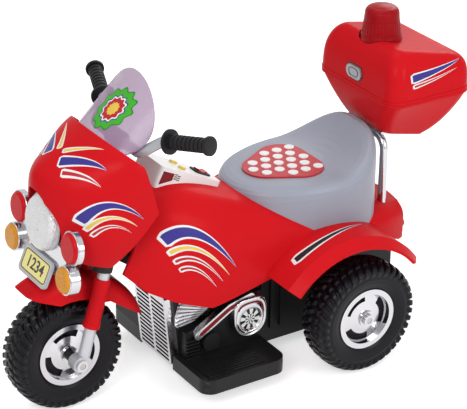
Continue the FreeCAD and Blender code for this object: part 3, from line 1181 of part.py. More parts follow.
gearbox = new_body("gearbox")
outline = new_sketch(gearbox, "XZ_Plane")
rectangle(outline, "gearbox_front_x", "gearbox_low_z", "gearbox_rear_x", "gearbox_high_z", "gearbox_round")
pad(gearbox, outline, "rear_track_half - hub_half_width - coupling_length - gearbox_face - tub_half_width")
output = new_sketch(gearbox, "XZ_Plane")
circle(output, "front_axle_x - wheelbase", "tyre_radius", "coupling_radius")
pad(gearbox, output, "rear_track_half - hub_half_width - coupling_length + hub_seat - end_gap - tub_half_width")
bore = new_sketch(gearbox, "XZ_Plane")
circle(bore, "front_axle_x - wheelbase", "tyre_radius", PRESS)
pocket(gearbox, bore, back=True)
keep(gearbox, place(0, -size("tub_half_width"), 0))

# Accelerator pedal, hinged at its heel in a bracket on the right footboard.
HEEL = place(size("pedal_x"), size("pedal_y"), size("board_top_z + pedal_lift"))
bracket = new_body("pedal_bracket")
base = new_sketch(bracket, "XY_Plane", "-pedal_lift")
rectangle(base, "-pedal_knuckle", "-(pedal_half_width + pedal_fit + pedal_ear)", "bracket_length",
          "pedal_half_width + pedal_fit + pedal_ear")
pad(bracket, base, "bracket_plate")
ears = new_sketch(bracket, "XZ_Plane")
polygon(ears, [
    ("-pedal_knuckle", "-pedal_lift"), ("-pedal_knuckle", "pedal_knuckle", "pedal_knuckle - 1"),
    ("pedal_knuckle", "pedal_knuckle", "pedal_knuckle - 1"), ("pedal_knuckle * 2", "-pedal_lift")])
pad(bracket, ears, "(pedal_half_width + pedal_fit + pedal_ear) * 2", both=True)
room = new_sketch(bracket, "XZ_Plane")
rectangle(room, "-pedal_knuckle * 2", "-pedal_lift + bracket_plate", "pedal_knuckle * 3", "pedal_knuckle * 2")
pocket(bracket, room, "(pedal_half_width + pedal_fit) * 2", both=True)
pin = new_sketch(bracket, "XZ_Plane")
circle(pin, "0", "0", "pedal_pin_radius")
pad(bracket, pin, "(pedal_half_width + pedal_fit + pedal_ear) * 2", both=True)
keep(bracket, HEEL)

pedal = new_body("accelerator_pedal")
plate = new_sketch(pedal, "XY_Plane")
rectangle(plate, "0", "-pedal_half_width", "pedal_length", "pedal_half_width", "pedal_thickness")
pad(pedal, plate, "pedal_thickness")
heel = new_sketch(pedal, "XZ_Plane")
circle(heel, "0", "0", "pedal_knuckle")
pad(pedal, heel, "pedal_half_width * 2", both=True)
rib = new_sketch(pedal, "XY_Plane", "pedal_thickness")
rectangle(rib, "pedal_length - pedal_rib_pitch", "-(pedal_half_width - pedal_thickness)",
          "pedal_length - pedal_rib_pitch + pedal_thickness", "pedal_half_width - pedal_thickness")
grip = pad(pedal, rib, "pedal_rib_height")
along(pedal, grip, "X_Axis", "pedal_rib_pitch * (pedal_rib_count - 1)", "pedal_rib_count", back=True)
bore = new_sketch(pedal, "XZ_Plane")
circle(bore, "0", "0", "pedal_pin_radius + running_fit")
pocket(pedal, bore, both=True)
keep(pedal, HEEL.multiply(place(0, 0, 0, Y_AXIS, -size("pedal_angle"))))

# Tail lamp on the rear face of the shell.
tail = new_body("tail_lamp")
side = new_sketch(tail, "XZ_Plane")
polygon(side, [
    ("tail_x", "tail_high_z"), ("tail_x - tail_top_depth", "tail_high_z", "tail_round"),
    ("tail_x - tail_foot_depth", "tail_low_z", "tail_round"), ("tail_x", "tail_low_z")])
pad(tail, side, "tail_half_width * 2", both=True)
keep(tail)

# Carrier of the top box: a bent tube that stands on the tub, with a plate.
CARRIER_X, CARRIER_Y, CARRIER_Z = size("carrier_x"), size("carrier_half"), size("carrier_top_z")
hoop = tube([Vector(CARRIER_X, CARRIER_Y, TUB_TOP), Vector(CARRIER_X, CARRIER_Y, CARRIER_Z),
             Vector(CARRIER_X, -CARRIER_Y, CARRIER_Z), Vector(CARRIER_X, -CARRIER_Y, TUB_TOP)],
            size("carrier_radius"), size("carrier_bend"))
FLOOR_SLOPE = size("box_floor_tilt / box_foot_half_length")


def floor_z(x):
    return size("box_floor_z") + FLOOR_SLOPE * (x - size("box_foot_x"))


shelf_front = CARRIER_X + size("carrier_radius")
shelf_rear = shelf_front - size("carrier_plate_length")
shelf = side_prism([
    (shelf_front, floor_z(shelf_front)), (shelf_rear, floor_z(shelf_rear)),
    (shelf_rear, floor_z(shelf_rear) - size("carrier_plate")),
    (shelf_front, floor_z(shelf_front) - size("carrier_plate"))], CARRIER_Y)
keep(solid("box_carrier", hoop.fuse(shelf)))


# Top box: rounded level rings, growing from the foot to the lip and drawn in again over the lid.
def box_ring(x, half_length, half_width, z, turn, tilt=0):
    """Returns a rounded rectangle, its front raised by a tilt."""
    lean = Vector(1, 0, tilt / half_length).normalize()

    def at(along, across):
        return Vector(x + along, across, z + tilt * along / half_length)

    long, wide = half_length - turn, half_width - turn
    edges = []
    for one, two, leave, arrive in (
            (at(half_length, wide), at(long, half_width), Y_AXIS, -lean),
            (at(-long, half_width), at(-half_length, wide), -lean, -Y_AXIS),
            (at(-half_length, -wide), at(-long, -half_width), -Y_AXIS, lean),
            (at(long, -half_width), at(half_length, -wide), lean, Y_AXIS)):
        edges.append((one, bent(one, leave, two, arrive, ROUND), two))
    sides = []
    for n, (_, corner, end) in enumerate(edges):
        sides.append(corner)
        sides.append(Part.makeLine(end, edges[(n + 1) % 4][0]))
    return Part.Wire(sides)


LIP_X, LIP_Z, LIP_TURN = size("box_lip_x"), size("box_lip_z"), size("box_lip_round")
LIP_LONG, LIP_WIDE = size("box_lip_half_length"), size("box_lip_half_width")
LID_Z = LIP_Z + size("lid_gap")
BOX_WALL, FLANGE = size("box_wall"), size("lip_flange")
LID_LEVELS = [
    # share of the lid's height, how far drawn in, share of the tilt
    (0, 0, 0), (0.3, 0.8, 0), (0.54, 3, 0.15), (0.73, 8, 0.4), (0.88, 16.5, 0.7), (0.96, 25, 0.9), (1, 38, 1),
]


BASE_LEVELS = [
    # share of the height, shares of the way from the foot's length and width to the lip's
    (0, 0, 0), (0.12, 0.26, 0.13), (0.3, 0.52, 0.32), (0.55, 0.77, 0.57), (0.8, 0.93, 0.82), (1, 1, 1),
]


def base_form(inset):
    rings = []
    low, foot_x = size("box_floor_z") + inset, size("box_foot_x")
    foot_long, foot_wide = size("box_foot_half_length"), size("box_foot_half_width")
    foot_turn = size("box_foot_round")
    for share, longer, wider in BASE_LEVELS:
        long = foot_long + longer * (LIP_LONG - foot_long) - inset
        wide = foot_wide + wider * (LIP_WIDE - foot_wide) - inset
        turn = foot_turn + wider * (LIP_TURN - foot_turn) - inset
        rings.append(box_ring(foot_x + longer * (LIP_X - foot_x), long, wide, low + share * (LIP_Z - low), turn,
                              (1 - share) * FLOOR_SLOPE * long))
    return Part.makeLoft(rings, True, False)


def lid_form(inset):
    rings = []
    for share, drawn, tilt in LID_LEVELS:
        in_all = drawn + inset
        rings.append(box_ring(LIP_X, LIP_LONG - in_all, LIP_WIDE - in_all,
                              LID_Z + share * (size("lid_height") - inset),
                              LIP_TURN - 0.35 * in_all, tilt * size("lid_tilt")))
    return Part.makeLoft(rings, True, False)


def flange_ring(z):
    outer = pushed(box_ring(LIP_X, LIP_LONG + FLANGE, LIP_WIDE + FLANGE, z, LIP_TURN + FLANGE),
                   Vector(0, 0, size("lip_height")))
    inner = pushed(box_ring(LIP_X, LIP_LONG - BOX_WALL, LIP_WIDE - BOX_WALL, z, LIP_TURN - BOX_WALL),
                   Vector(0, 0, size("lip_height")))
    return outer.cut(inner)


HINGE_X = LIP_X - LIP_LONG - FLANGE - size("hinge_knuckle") - END_GAP
HINGE_Z = LIP_Z + size("lid_gap") / 2


def knuckle(start, end, low):
    """Returns a hinge knuckle, bridged to the flange that begins at a height."""
    barrel = Part.makeCylinder(size("hinge_knuckle"), end - start, Vector(HINGE_X, start, HINGE_Z), Y_AXIS)
    bridge = Part.makeBox(size("hinge_knuckle") + FLANGE, end - start, size("lip_height"),
                          Vector(HINGE_X, start, low))
    return barrel.fuse(bridge)


hinge_inner, hinge_outer = size("hinge_inner_half"), size("hinge_half_length")
pin_hole = Part.makeCylinder(size("hinge_radius + running_fit"), 2 * FAR, Vector(HINGE_X, -FAR, HINGE_Z), Y_AXIS)
tight_hole = Part.makeCylinder(size("hinge_radius + rim_fit"), 2 * FAR, Vector(HINGE_X, -FAR, HINGE_Z), Y_AXIS)
base_low = LIP_Z - size("lip_height")
box_base = base_form(0).fuse([
    flange_ring(base_low), knuckle(hinge_inner, hinge_outer, base_low), knuckle(-hinge_outer, -hinge_inner, base_low)])
keep(solid("box_base", cut_solid(box_base, base_form(BOX_WALL), tight_hole)))

LATCH_BACK = size("latch_face_x - latch_depth")
LATCH_FLOOR = LATCH_BACK - size("latch_travel + end_gap")


def latch_slab(x0, x1, grow):
    """Returns the oval of the latch between two values of X."""
    reach = size("latch_half_height") + grow
    straight = size("latch_half_width - latch_half_height")
    z = size("latch_z")
    right = Part.makeCylinder(reach, x1 - x0, Vector(x0, -straight, z), X_AXIS)
    left = Part.makeCylinder(reach, x1 - x0, Vector(x0, straight, z), X_AXIS)
    middle = Part.makeBox(x1 - x0, 2 * straight, 2 * reach, Vector(x0, -straight, z - reach))
    return middle.fuse([right, left]).removeSplitter()


BEACON = place(size("beacon_x"), 0, size("beacon_z"))
boss = Part.makeCylinder(size("beacon_base_radius") + 2, FAR, BEACON.Base - Vector(0, 0, FAR), Z_AXIS)
cup = latch_slab(LATCH_FLOOR - 2, size("latch_face_x"), size("latch_fit + latch_wall")).common(lid_form(0))
lid = lid_form(0).fuse([flange_ring(LID_Z), boss.cut(Part.makeBox(
    2 * FAR, 2 * FAR, FAR, Vector(-2 * FAR, -FAR, LID_Z + size("lid_height") - BOX_WALL - FAR)))])
seat_cut = Part.makeCylinder(size("beacon_base_radius") + 2, FAR, BEACON.Base, Z_AXIS)
lid = lid.cut(lid_form(BOX_WALL)).cut(seat_cut).fuse([cup, knuckle(END_GAP - hinge_inner, hinge_inner - END_GAP, LID_Z)])
keep(solid("box_lid", cut_solid(lid, latch_slab(LATCH_FLOOR, 0, size("latch_fit")), pin_hole)))
keep(solid("box_latch", latch_slab(LATCH_BACK, size("latch_face_x"), 0)))
rod("hinge_pin", "hinge_radius", "hinge_half_length * 2", place(HINGE_X, -hinge_outer, HINGE_Z, X_AXIS, -90))

# Warning beacon on the lid: a hollow dome over a core.
dome = new_body("beacon_dome")
section = new_sketch(dome, "XZ_Plane")
polygon(section, [
    ("beacon_base_radius - beacon_wall", "0"), ("beacon_base_radius", "0"),
    ("beacon_base_radius", "beacon_foot"), ("beacon_base_radius - beacon_wall / 2", "beacon_foot"),
    ("beacon_top_radius", "beacon_height", "beacon_round"), ("0", "beacon_height"),
    ("0", "beacon_height - beacon_wall"),
    ("beacon_top_radius - beacon_wall", "beacon_height - beacon_wall", "beacon_round - beacon_wall")])
revolve(dome, section)
keep(dome, BEACON)
rod("beacon_core", "beacon_core_radius", "beacon_core_height", BEACON)

# Every object is looked at before anything is written.
doc.recompute()
for item in doc.Objects:
    if {"Invalid", "Error"} & set(item.State):
        raise RuntimeError(f"{item.Label} failed: {item.State}")
os.makedirs("parts", exist_ok=True)
for part in PARTS:
    if part.Shape.isNull() or not part.Shape.isValid() or part.Shape.Volume <= 0:
        raise RuntimeError(f"{part.Label} has no sound shape")
for part in PARTS:
    part.Shape.exportStep(f"parts/{part.Label}.step")
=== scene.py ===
"""Looks of a children's three-wheeled electric motorbike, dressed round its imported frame.

Lengths are in metres in the frame: +X forward, +Y to the rider's left, +Z up.
"""
import math

import bmesh
import bpy
import numpy as np
from mathutils import Matrix, Vector


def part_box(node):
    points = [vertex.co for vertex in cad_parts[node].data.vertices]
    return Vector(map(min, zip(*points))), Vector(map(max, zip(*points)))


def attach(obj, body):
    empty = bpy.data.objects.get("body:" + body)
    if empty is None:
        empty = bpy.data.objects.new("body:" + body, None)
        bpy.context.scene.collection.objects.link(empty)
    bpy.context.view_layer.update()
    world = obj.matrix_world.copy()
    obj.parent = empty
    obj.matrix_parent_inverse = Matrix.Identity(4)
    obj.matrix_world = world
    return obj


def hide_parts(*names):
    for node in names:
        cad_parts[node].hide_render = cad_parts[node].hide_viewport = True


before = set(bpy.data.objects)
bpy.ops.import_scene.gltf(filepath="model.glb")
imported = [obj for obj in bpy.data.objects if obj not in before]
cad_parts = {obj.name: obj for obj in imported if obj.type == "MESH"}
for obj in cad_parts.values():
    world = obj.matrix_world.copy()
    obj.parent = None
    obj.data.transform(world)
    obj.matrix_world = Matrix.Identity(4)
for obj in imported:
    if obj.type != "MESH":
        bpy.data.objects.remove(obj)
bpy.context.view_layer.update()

bl_info = {
    "name": "Toy Motorbike Looks",
    "version": (1, 0, 0),
    "blender": (4, 5, 0),
    "location": "3D View > Sidebar > Motorbike",
    "description": "Dresses the frame of a children's electric motorbike with finishes and small forms",
    "category": "Object",
}

TAU = 2 * math.pi
X, Y, Z = range(3)
SIDES = ((1.0, "left"), (-1.0, "right"))
# pattern of a wheel's node names, and its body
WHEELS = (("front_{}", "front_wheel"), ("rear_{}_left", "rear_wheel_left"),
          ("rear_{}_right", "rear_wheel_right"))
TYRE_RADIUS = 0.110
# a film is dropped from this far out, and one that ends this near its start has met nothing
DROP_START, DROP_MISS = 0.9, 0.1
# share of a stripe's length that is inked as its blunt end
STRIPE_TIP = 0.035
# axle of the round engine cover, and the radius of the hole in its plate
COVER_X, COVER_Z, COVER_HOLE = 0.021, 0.1165, 0.0232
LATCH_Z = 0.511
# kind, centre of the left lamp's rim, radius of its bezel
ROUND_LAMPS = (("red", (0.3860, 0.0944, 0.3600), 0.0284), ("amber", (0.4010, 0.0958, 0.3040), 0.0242))
LAMP_AXIS = (0.9925, 0.0, 0.1219)

# node, its body and the axis of the drop, then each stripe's name, film, arc and half width
STRIPES = (
    ("fairing", "steering", Y, (
        ("cheek_a", "film_blue", ((0.364, 0.396), (0.320, 0.466), (0.258, 0.394)), 0.0125),
        ("cheek_b", "film_yellow", ((0.355, 0.384), (0.319, 0.434), (0.270, 0.383)), 0.0062),
        ("cheek_c", "film_red", ((0.346, 0.373), (0.318, 0.411), (0.281, 0.373)), 0.0054))),
    ("body_shell", "frame", Y, (
        ("tank_a", "film_blue", ((0.207, 0.322), (0.146, 0.372), (0.066, 0.246)), 0.0170),
        ("tank_b", "film_yellow", ((0.197, 0.299), (0.146, 0.333), (0.080, 0.234)), 0.0078),
        ("tank_c", "film_red", ((0.187, 0.281), (0.146, 0.305), (0.093, 0.224)), 0.0070),
        ("tank_d", "film_red", ((0.177, 0.264), (0.146, 0.279), (0.106, 0.216)), 0.0062))),
    ("box_lid", "lid", Y, (
        ("box_a", "film_blue", ((-0.306, 0.528), (-0.366, 0.532), (-0.424, 0.543)), 0.0100),
        ("box_b", "film_red", ((-0.310, 0.513), (-0.360, 0.517), (-0.412, 0.530)), 0.0048))),
    ("body_shell", "frame", Z, (
        ("arch", "film_dark", ((-0.034, 0.150), (-0.112, 0.162), (-0.204, 0.128)), 0.0120),)),
    ("fairing", "steering", Z, (
        ("brow_a", "film_blue", ((0.366, 0.020), (0.338, 0.050), (0.312, 0.092)), 0.0115),
        ("brow_b", "film_red", ((0.372, 0.040), (0.350, 0.064), (0.326, 0.096)), 0.0060),
        ("brow_c", "film_yellow", ((0.350, 0.006), (0.326, 0.030), (0.302, 0.066)), 0.0058))),
)

# finish, its colour or the setting that holds it, roughness, how far it wanders, cloud, scale of the clouds,
# scale and depth of the grain, then what else differs from a plain skin
FINISHES = (
    ("body_red", "body", 0.30, 0.10, 0.05, 14.0, 700.0, 0.00002,
     dict(rub=0.08, Specular_IOR_Level=0.028, Coat_Weight=0.012, Coat_Roughness=0.08)),
    ("tyre_black", "rubber", 0.32, 0.20, 0.25, 30.0, 1500.0, 0.00005, dict(Specular_IOR_Level=0.15)),
    ("chrome_trim", "chrome", 0.15, 0.10, 0.10, 30.0, 160.0, 0.00012, dict(rub=0.10, Metallic=1.0)),
    ("axle_steel", (0.45, 0.45, 0.46), 0.34, 0.15, 0.15, 14.0, None, 0.0, dict(rub=0.3, Metallic=1.0)),
    ("black_plastic", "black", 0.36, 0.15, 0.15, 14.0, 1100.0, 0.00006,
     dict(rub=0.15, Specular_IOR_Level=0.20)),
    ("silver_plastic", "silver", 0.32, 0.10, 0.06, 14.0, 2200.0, 0.00003, dict(rub=0.1, Metallic=0.35)),
    ("shield_lilac", "shield", 0.16, 0.05, 0.04, 14.0, None, 0.0,
     dict(rub=0.1, Alpha=0.66, Specular_IOR_Level=0.15)),
    ("lamp_silver", (0.82, 0.825, 0.84), 0.30, 0.20, 0.22, 60.0, 330.0, 0.0011,
     dict(cells=1.4, Metallic=0.15, Coat_Weight=0.5, Coat_Roughness=0.08)),
    ("lens_red", "lens", 0.20, 0.06, 0.12, 60.0, 380.0, 0.0003, dict(cells=1.2, Specular_IOR_Level=0.08)),
    ("lens_amber", "amber", 0.22, 0.06, 0.30, 60.0, 330.0, 0.0006, dict(cells=1.2, Specular_IOR_Level=0.18)),
    ("plate_grey", (0.50, 0.52, 0.56), 0.36, 0.10, 0.06, 14.0, 1500.0, 0.00005, {}),
    ("plate_yellow", "plate", 0.40, 0.12, 0.08, 40.0, 1400.0, 0.00003, {}),
    ("bar_grey", (0.43, 0.44, 0.48), 0.30, 0.10, 0.06, 14.0, 1200.0, 0.00003, dict(rub=0.15, Metallic=0.25)),
    ("grip_black", (0.010, 0.010, 0.012), 0.50, 0.15, 0.20, 40.0, 1300.0, 0.00014,
     dict(Specular_IOR_Level=0.22)),
    ("seat_grey", "seat", 0.36, 0.12, 0.07, 14.0, 1500.0, 0.00007, dict(rub=0.12, Specular_IOR_Level=0.30)),
    ("pad_red", (0.50, 0.022, 0.030), 0.50, 0.15, 0.12, 30.0, 1300.0, 0.00010, {}),
    ("dot_white", "white", 0.45, 0.10, 0.08, 40.0, 1300.0, 0.00005, {}),
    ("console_grey", "console", 0.34, 0.10, 0.05, 14.0, 1400.0, 0.00005, dict(rub=0.1)),
    ("button_yellow", "button", 0.33, 0.10, 0.08, 60.0, 1400.0, 0.00003, {}),
    ("switch_red", (0.560, 0.014, 0.018), 0.24, 0.10, 0.06, 14.0, 1200.0, 0.00002, {}),
    ("battery_grey", (0.10, 0.10, 0.11), 0.50, 0.10, 0.10, 14.0, 900.0, 0.00008, {}),
    ("beacon_red", (0.380, 0.007, 0.012), 0.28, 0.06, 0.10, 40.0, None, 0.0,
     dict(rub=0.1, Specular_IOR_Level=0.07, Alpha=0.93)),
    ("tail_red", (0.330, 0.010, 0.014), 0.16, 0.06, 0.12, 40.0, 300.0, 0.0003,
     dict(cells=1.2, Coat_Weight=0.4)),
    # trim without a slot of its own in the frame
    ("latch_silver", (0.34, 0.34, 0.36), 0.42, 0.15, 0.12, 60.0, 1500.0, 0.00004, dict(Metallic=0.6)),
    ("inlay_red", (0.210, 0.006, 0.010), 0.26, 0.08, 0.10, 40.0, 900.0, 0.00002,
     dict(Specular_IOR_Level=0.14)),
    # painted shade: the dark laid in slots and gaps where shade falls, not a moulded black part
    ("slot_black", (0.010, 0.010, 0.011), 0.60, 0.10, 0.10, 14.0, 900.0, 0.00010, {}),
    ("print_black", (0.018, 0.018, 0.020), 0.40, 0.10, 0.10, 60.0, 1500.0, 0.00002, {}),
    ("print_blue", (0.030, 0.040, 0.110), 0.40, 0.10, 0.10, 60.0, 1500.0, 0.00002, {}),
)

# grey of the light from the surround, from straight below (0) to straight above (1)
SKY_GREYS = ((0.0, 0.30), (0.50, 0.14), (0.60, 0.20), (0.78, 0.62), (1.0, 0.85))
SKY_STRENGTH = 0.75
FLOOR_REACH, FLOOR_LEVEL, FLOOR_GLOW = 6.0, -0.0004, 0.55
# name, place, diameter in metres, power in watts
LAMPS = (("key", (2.0, 1.7, 2.2), 1.3, 36.0), ("side", (-0.9, 2.9, 1.5), 1.5, 33.0),
         ("top", (-0.2, -0.4, 3.0), 2.0, 18.0), ("rim", (-2.2, -1.6, 1.8), 1.4, 18.0))
LAMP_AIM = (0.0, 0.0, 0.3)
CAMERA_PLACE = (1.76014, 2.72611, 1.91345)
# turn about the upright axis, rise over the floor and roll, in degrees
CAMERA_ANGLES = (147.1162, 26.3747, 0.7055)
# the picture's focal length and width in pixels, and the sensor's width in millimetres
FOCAL_PIXELS, PICTURE_PIXELS, SENSOR_WIDTH = 1972.53, 467.0, 36.0


class MotorbikeSizes(bpy.types.PropertyGroup):
    """Sizes that a user of the dressed motorbike may change."""

    lug_height: bpy.props.FloatProperty(
        name="Lug height", description="Height of the tyre's tread blocks", default=0.0052, unit="LENGTH")
    lug_count: bpy.props.IntProperty(
        name="Lugs per side", description="Tread blocks round one half of a tyre", default=40)
    decal_lift: bpy.props.FloatProperty(
        name="Decal lift", description="Height of a printed film over its surface", default=0.0003,
        unit="LENGTH")
    screw_radius: bpy.props.FloatProperty(
        name="Screw radius", description="Radius of a visible screw head", default=0.0042, unit="LENGTH")


def colour(label, text, value):
    """Property for one finish colour."""
    return bpy.props.FloatVectorProperty(
        name=label, description=text, default=(*value, 1.0), size=4, min=0.0, max=1.0, subtype="COLOR")


class MotorbikeColours(bpy.types.PropertyGroup):
    """Colours of the finishes, in linear light."""

    body: colour("Body red", "Glossy red of the painted shells", (0.620, 0.010, 0.015))
    seat: colour("Seat grey", "Blue grey of the moulded seat", (0.320, 0.340, 0.410))
    black: colour("Black plastic", "Moulded black of the chassis", (0.011, 0.011, 0.012))
    rubber: colour("Tyre black", "Moulded black of the tyres", (0.0065, 0.0055, 0.0080))
    chrome: colour("Chrome", "Bright plating", (0.560, 0.555, 0.575))
    silver: colour("Silver plastic", "Painted silver of the fork", (0.560, 0.565, 0.600))
    shield: colour("Windshield", "Lilac of the clear windshield", (0.440, 0.300, 0.450))
    amber: colour("Amber", "Turn lamp lenses", (0.850, 0.350, 0.022))
    lens: colour("Lens red", "Round lamp lenses", (0.640, 0.008, 0.016))
    plate: colour("Plate yellow", "Face of the number plate", (0.980, 0.860, 0.320))
    console: colour("Console grey", "Light grey of the console", (0.880, 0.876, 0.870))
    button: colour("Button yellow", "Sound buttons", (0.800, 0.560, 0.060))
    blue: colour("Stripe blue", "Blue of the printed stripes", (0.045, 0.035, 0.260))
    white: colour("Stripe white", "White of the printed stripes", (0.820, 0.820, 0.820))
    yellow: colour("Stripe yellow", "Yellow of the printed stripes", (0.800, 0.560, 0.080))


def rgb(name):
    """A named finish colour from the scene's settings."""
    return tuple(getattr(bpy.context.scene.motorbike_colours, name))


def group(name, inputs, outputs):
    """Empty shader group with float and colour sockets; returns its tree and end nodes."""
    tree = bpy.data.node_groups.new(name, "ShaderNodeTree")
    for label, kind, value in inputs:
        socket = tree.interface.new_socket(label, in_out="INPUT", socket_type=kind)
        socket.default_value = value
    for label, kind in outputs:
        tree.interface.new_socket(label, in_out="OUTPUT", socket_type=kind)
    return tree, tree.nodes.new("NodeGroupInput"), tree.nodes.new("NodeGroupOutput")


def shader_node(tree, kind, inputs=(), **settings):
    """New node with its settings, and on each input, by name or place, a link from a socket or a value."""
    made = tree.nodes.new("ShaderNode" + kind)
    for label, value in settings.items():
        setattr(made, label, value)
    for place, value in dict(inputs).items():
        if isinstance(value, bpy.types.NodeSocket):
            tree.links.new(value, made.inputs[place])
        else:
            made.inputs[place].default_value = value
    return made


def math_node(tree, operation, *values):
    """Value socket of a math node with sockets or numbers on its inputs."""
    return shader_node(tree, "Math", enumerate(values), operation=operation).outputs[0]


def coordinate(tree, kind):
    """Socket of one kind of texture coordinate."""
    return shader_node(tree, "TexCoord").outputs[kind]


def noise(tree, scale, detail, rough):
    """Value socket of a noise on Object coordinates."""
    inputs = {"Vector": coordinate(tree, "Object"), "Scale": scale, "Detail": detail, "Roughness": rough}
    return shader_node(tree, "TexNoise", inputs).outputs["Fac"]


def mixed(tree, factor, first, second):
    """Colour socket of a mix of two colours."""
    return shader_node(tree, "Mix", {0: factor, 6: first, 7: second}, data_type="RGBA").outputs[2]


def ramp_colour(tree, value, stops, interpolation="LINEAR"):
    """Colour socket of a ramp over a value; each stop is a position and a colour."""
    made = shader_node(tree, "ValToRGB", {0: value})
    made.color_ramp.interpolation = interpolation
    elements = made.color_ramp.elements
    while len(elements) < len(stops):
        elements.new(0.5)
    for element, (position, ink) in zip(elements, stops):
        element.position = position
        element.color = ink
    return made.outputs["Color"]


def moulded_skin():
    """Group: a colour with soft clouds and a roughness that wanders, as on moulded and painted skins."""
    tree, given, put = group(
        "moulded_skin",
        [("Colour", "NodeSocketColor", (0.5, 0.5, 0.5, 1)), ("Cloud", "NodeSocketFloat", 0.06),
         ("Cloud Scale", "NodeSocketFloat", 14.0), ("Roughness", "NodeSocketFloat", 0.3),
         ("Spread", "NodeSocketFloat", 0.1)],
        [("Colour", "NodeSocketColor"), ("Roughness", "NodeSocketFloat")])
    cloud = noise(tree, given.outputs["Cloud Scale"], detail=4.0, rough=0.55)
    shade = math_node(tree, "MULTIPLY", cloud, given.outputs["Cloud"])
    tree.links.new(mixed(tree, shade, given.outputs["Colour"], (0.0, 0.0, 0.0, 1.0)), put.inputs["Colour"])
    wander = math_node(tree, "SUBTRACT", noise(tree, 46.0, detail=5.0, rough=0.6), 0.5)
    swing = math_node(tree, "MULTIPLY", wander, given.outputs["Spread"])
    tree.links.new(math_node(tree, "ADD", given.outputs["Roughness"], swing), put.inputs["Roughness"])
    return tree


def fine_grain():
    """Group: a height of small moulded cells over a finer noise."""
    tree, given, put = group(
        "fine_grain", [("Scale", "NodeSocketFloat", 900.0), ("Cells", "NodeSocketFloat", 0.5)],
        [("Height", "NodeSocketFloat")])
    scale = given.outputs["Scale"]
    cells = shader_node(tree, "TexVoronoi", {"Vector": coordinate(tree, "Object"), "Scale": scale})
    pits = math_node(tree, "MULTIPLY", cells.outputs["Distance"], given.outputs["Cells"])
    fine = noise(tree, scale, detail=2.0, rough=0.5)
    tree.links.new(math_node(tree, "ADD", pits, fine), put.inputs["Height"])
    return tree


def handling():
    """Group: a mask of hair-fine rub marks, from noise drawn out along one direction."""
    tree, given, put = group(
        "handling", [("Length", "NodeSocketFloat", 0.06), ("Amount", "NodeSocketFloat", 0.3)],
        [("Mask", "NodeSocketFloat")])
    stretch = shader_node(tree, "CombineXYZ", {0: given.outputs["Length"], 1: 1.0, 2: 1.0})
    drawn = shader_node(tree, "Mapping", {"Vector": coordinate(tree, "Object"), "Rotation": (0.3, 0.5, 0.9),
                                          "Scale": stretch.outputs[0]})
    marks = shader_node(tree, "TexNoise", {"Vector": drawn.outputs["Vector"], "Scale": 420.0, "Detail": 2.0})
    sharp = math_node(tree, "MULTIPLY", math_node(tree, "SUBTRACT", marks.outputs["Fac"], 0.60), 6.0)
    clear = math_node(tree, "MAXIMUM", sharp, 0.0)
    tree.links.new(math_node(tree, "MULTIPLY", clear, given.outputs["Amount"]), put.inputs["Mask"])
    return tree


def emptied(owner):
    """The node tree of a material or world, with nothing in it."""
    owner.use_nodes = True
    owner.node_tree.nodes.clear()
    return owner.node_tree


def spaced(values):
    """Values by the names of sockets, from keywords with underscores."""
    return {label.replace("_", " "): value for label, value in values.items()}


def placed(tree, maker, **values):
    """One use of a shared group, built on first need, with its own input values."""
    shared = bpy.data.node_groups.get(maker.__name__) or maker()
    return shader_node(tree, "Group", spaced(values), node_tree=shared)


def finish(name, tint, rough, spread, cloud, cloud_scale, grain=None, grain_depth=0.0, cells=0.5, rub=0.0,
           **constants):
    """Material of a moulded or plated skin: clouded colour, wandering roughness, rub marks, a grain in bump.

    constants are set straight on the shader's own sockets. Returns the material's tree and its skin group.
    """
    tree = emptied(bpy.data.materials.get(name) or bpy.data.materials.new(name))
    skin = placed(tree, moulded_skin, Colour=tint, Cloud=cloud, Cloud_Scale=cloud_scale,
                  Roughness=rough, Spread=spread)
    level = skin.outputs["Roughness"]
    if rub:
        level = math_node(tree, "ADD", level, placed(tree, handling, Amount=rub).outputs["Mask"])
    shader = shader_node(tree, "BsdfPrincipled", {"Base Color": skin.outputs["Colour"], "Roughness": level,
                                                  **spaced(constants)})
    if grain:
        height = placed(tree, fine_grain, Scale=grain, Cells=cells).outputs["Height"]
        bump = shader_node(tree, "Bump", {"Height": height, "Distance": grain_depth, "Strength": 1.0})
        tree.links.new(bump.outputs["Normal"], shader.inputs["Normal"])
    shader_node(tree, "OutputMaterial", {0: shader.outputs[0]})
    return tree, skin


def film_finish(name, bands, across="Y", tip=None):
    """Printed film: bands of plain ink over the sheet's own UV map, across its X (U) or Y (V).

    tip is the ink of a short band at the start of U.
    """
    tree, skin = finish(name, (1, 1, 1, 1), rough=0.30, spread=0.10, cloud=0.05, cloud_scale=60.0,
                        Specular_IOR_Level=0.2)
    split = shader_node(tree, "SeparateXYZ", {0: coordinate(tree, "UV")}).outputs
    ink = ramp_colour(tree, split[across], bands, "CONSTANT")
    if tip:
        ink = mixed(tree, math_node(tree, "LESS_THAN", split["X"], STRIPE_TIP), ink, tip)
    tree.links.new(ink, skin.inputs["Colour"])


def printed_films():
    """Inks of the films: stripes with white edges and ends, the rings of a badge, fields of two inks."""
    white, blue, yellow = rgb("white"), rgb("blue"), rgb("yellow")
    red, dark, black = (0.520, 0.020, 0.030, 1), (0.020, 0.018, 0.022, 1), (0.012, 0.012, 0.014, 1)
    green, deep_green = (0.06, 0.42, 0.03, 1), (0.02, 0.24, 0.02, 1)
    for name, ink, edge in (("film_blue", blue, 0.15), ("film_yellow", yellow, 0.25),
                            ("film_red", red, 0.28), ("film_dark", dark, 0.20)):
        film_finish(name, [(0.0, white), (edge, ink), (1.0 - edge, white)], tip=white)
    film_finish("film_badge", [(0.0, yellow), (0.30, red), (0.52, white), (0.60, blue), (0.66, green),
                               (0.93, deep_green)], across="X")
    for name in ("film_spokes", "film_cheque"):
        film_finish(name, [(0.0, white), (0.5, black)])


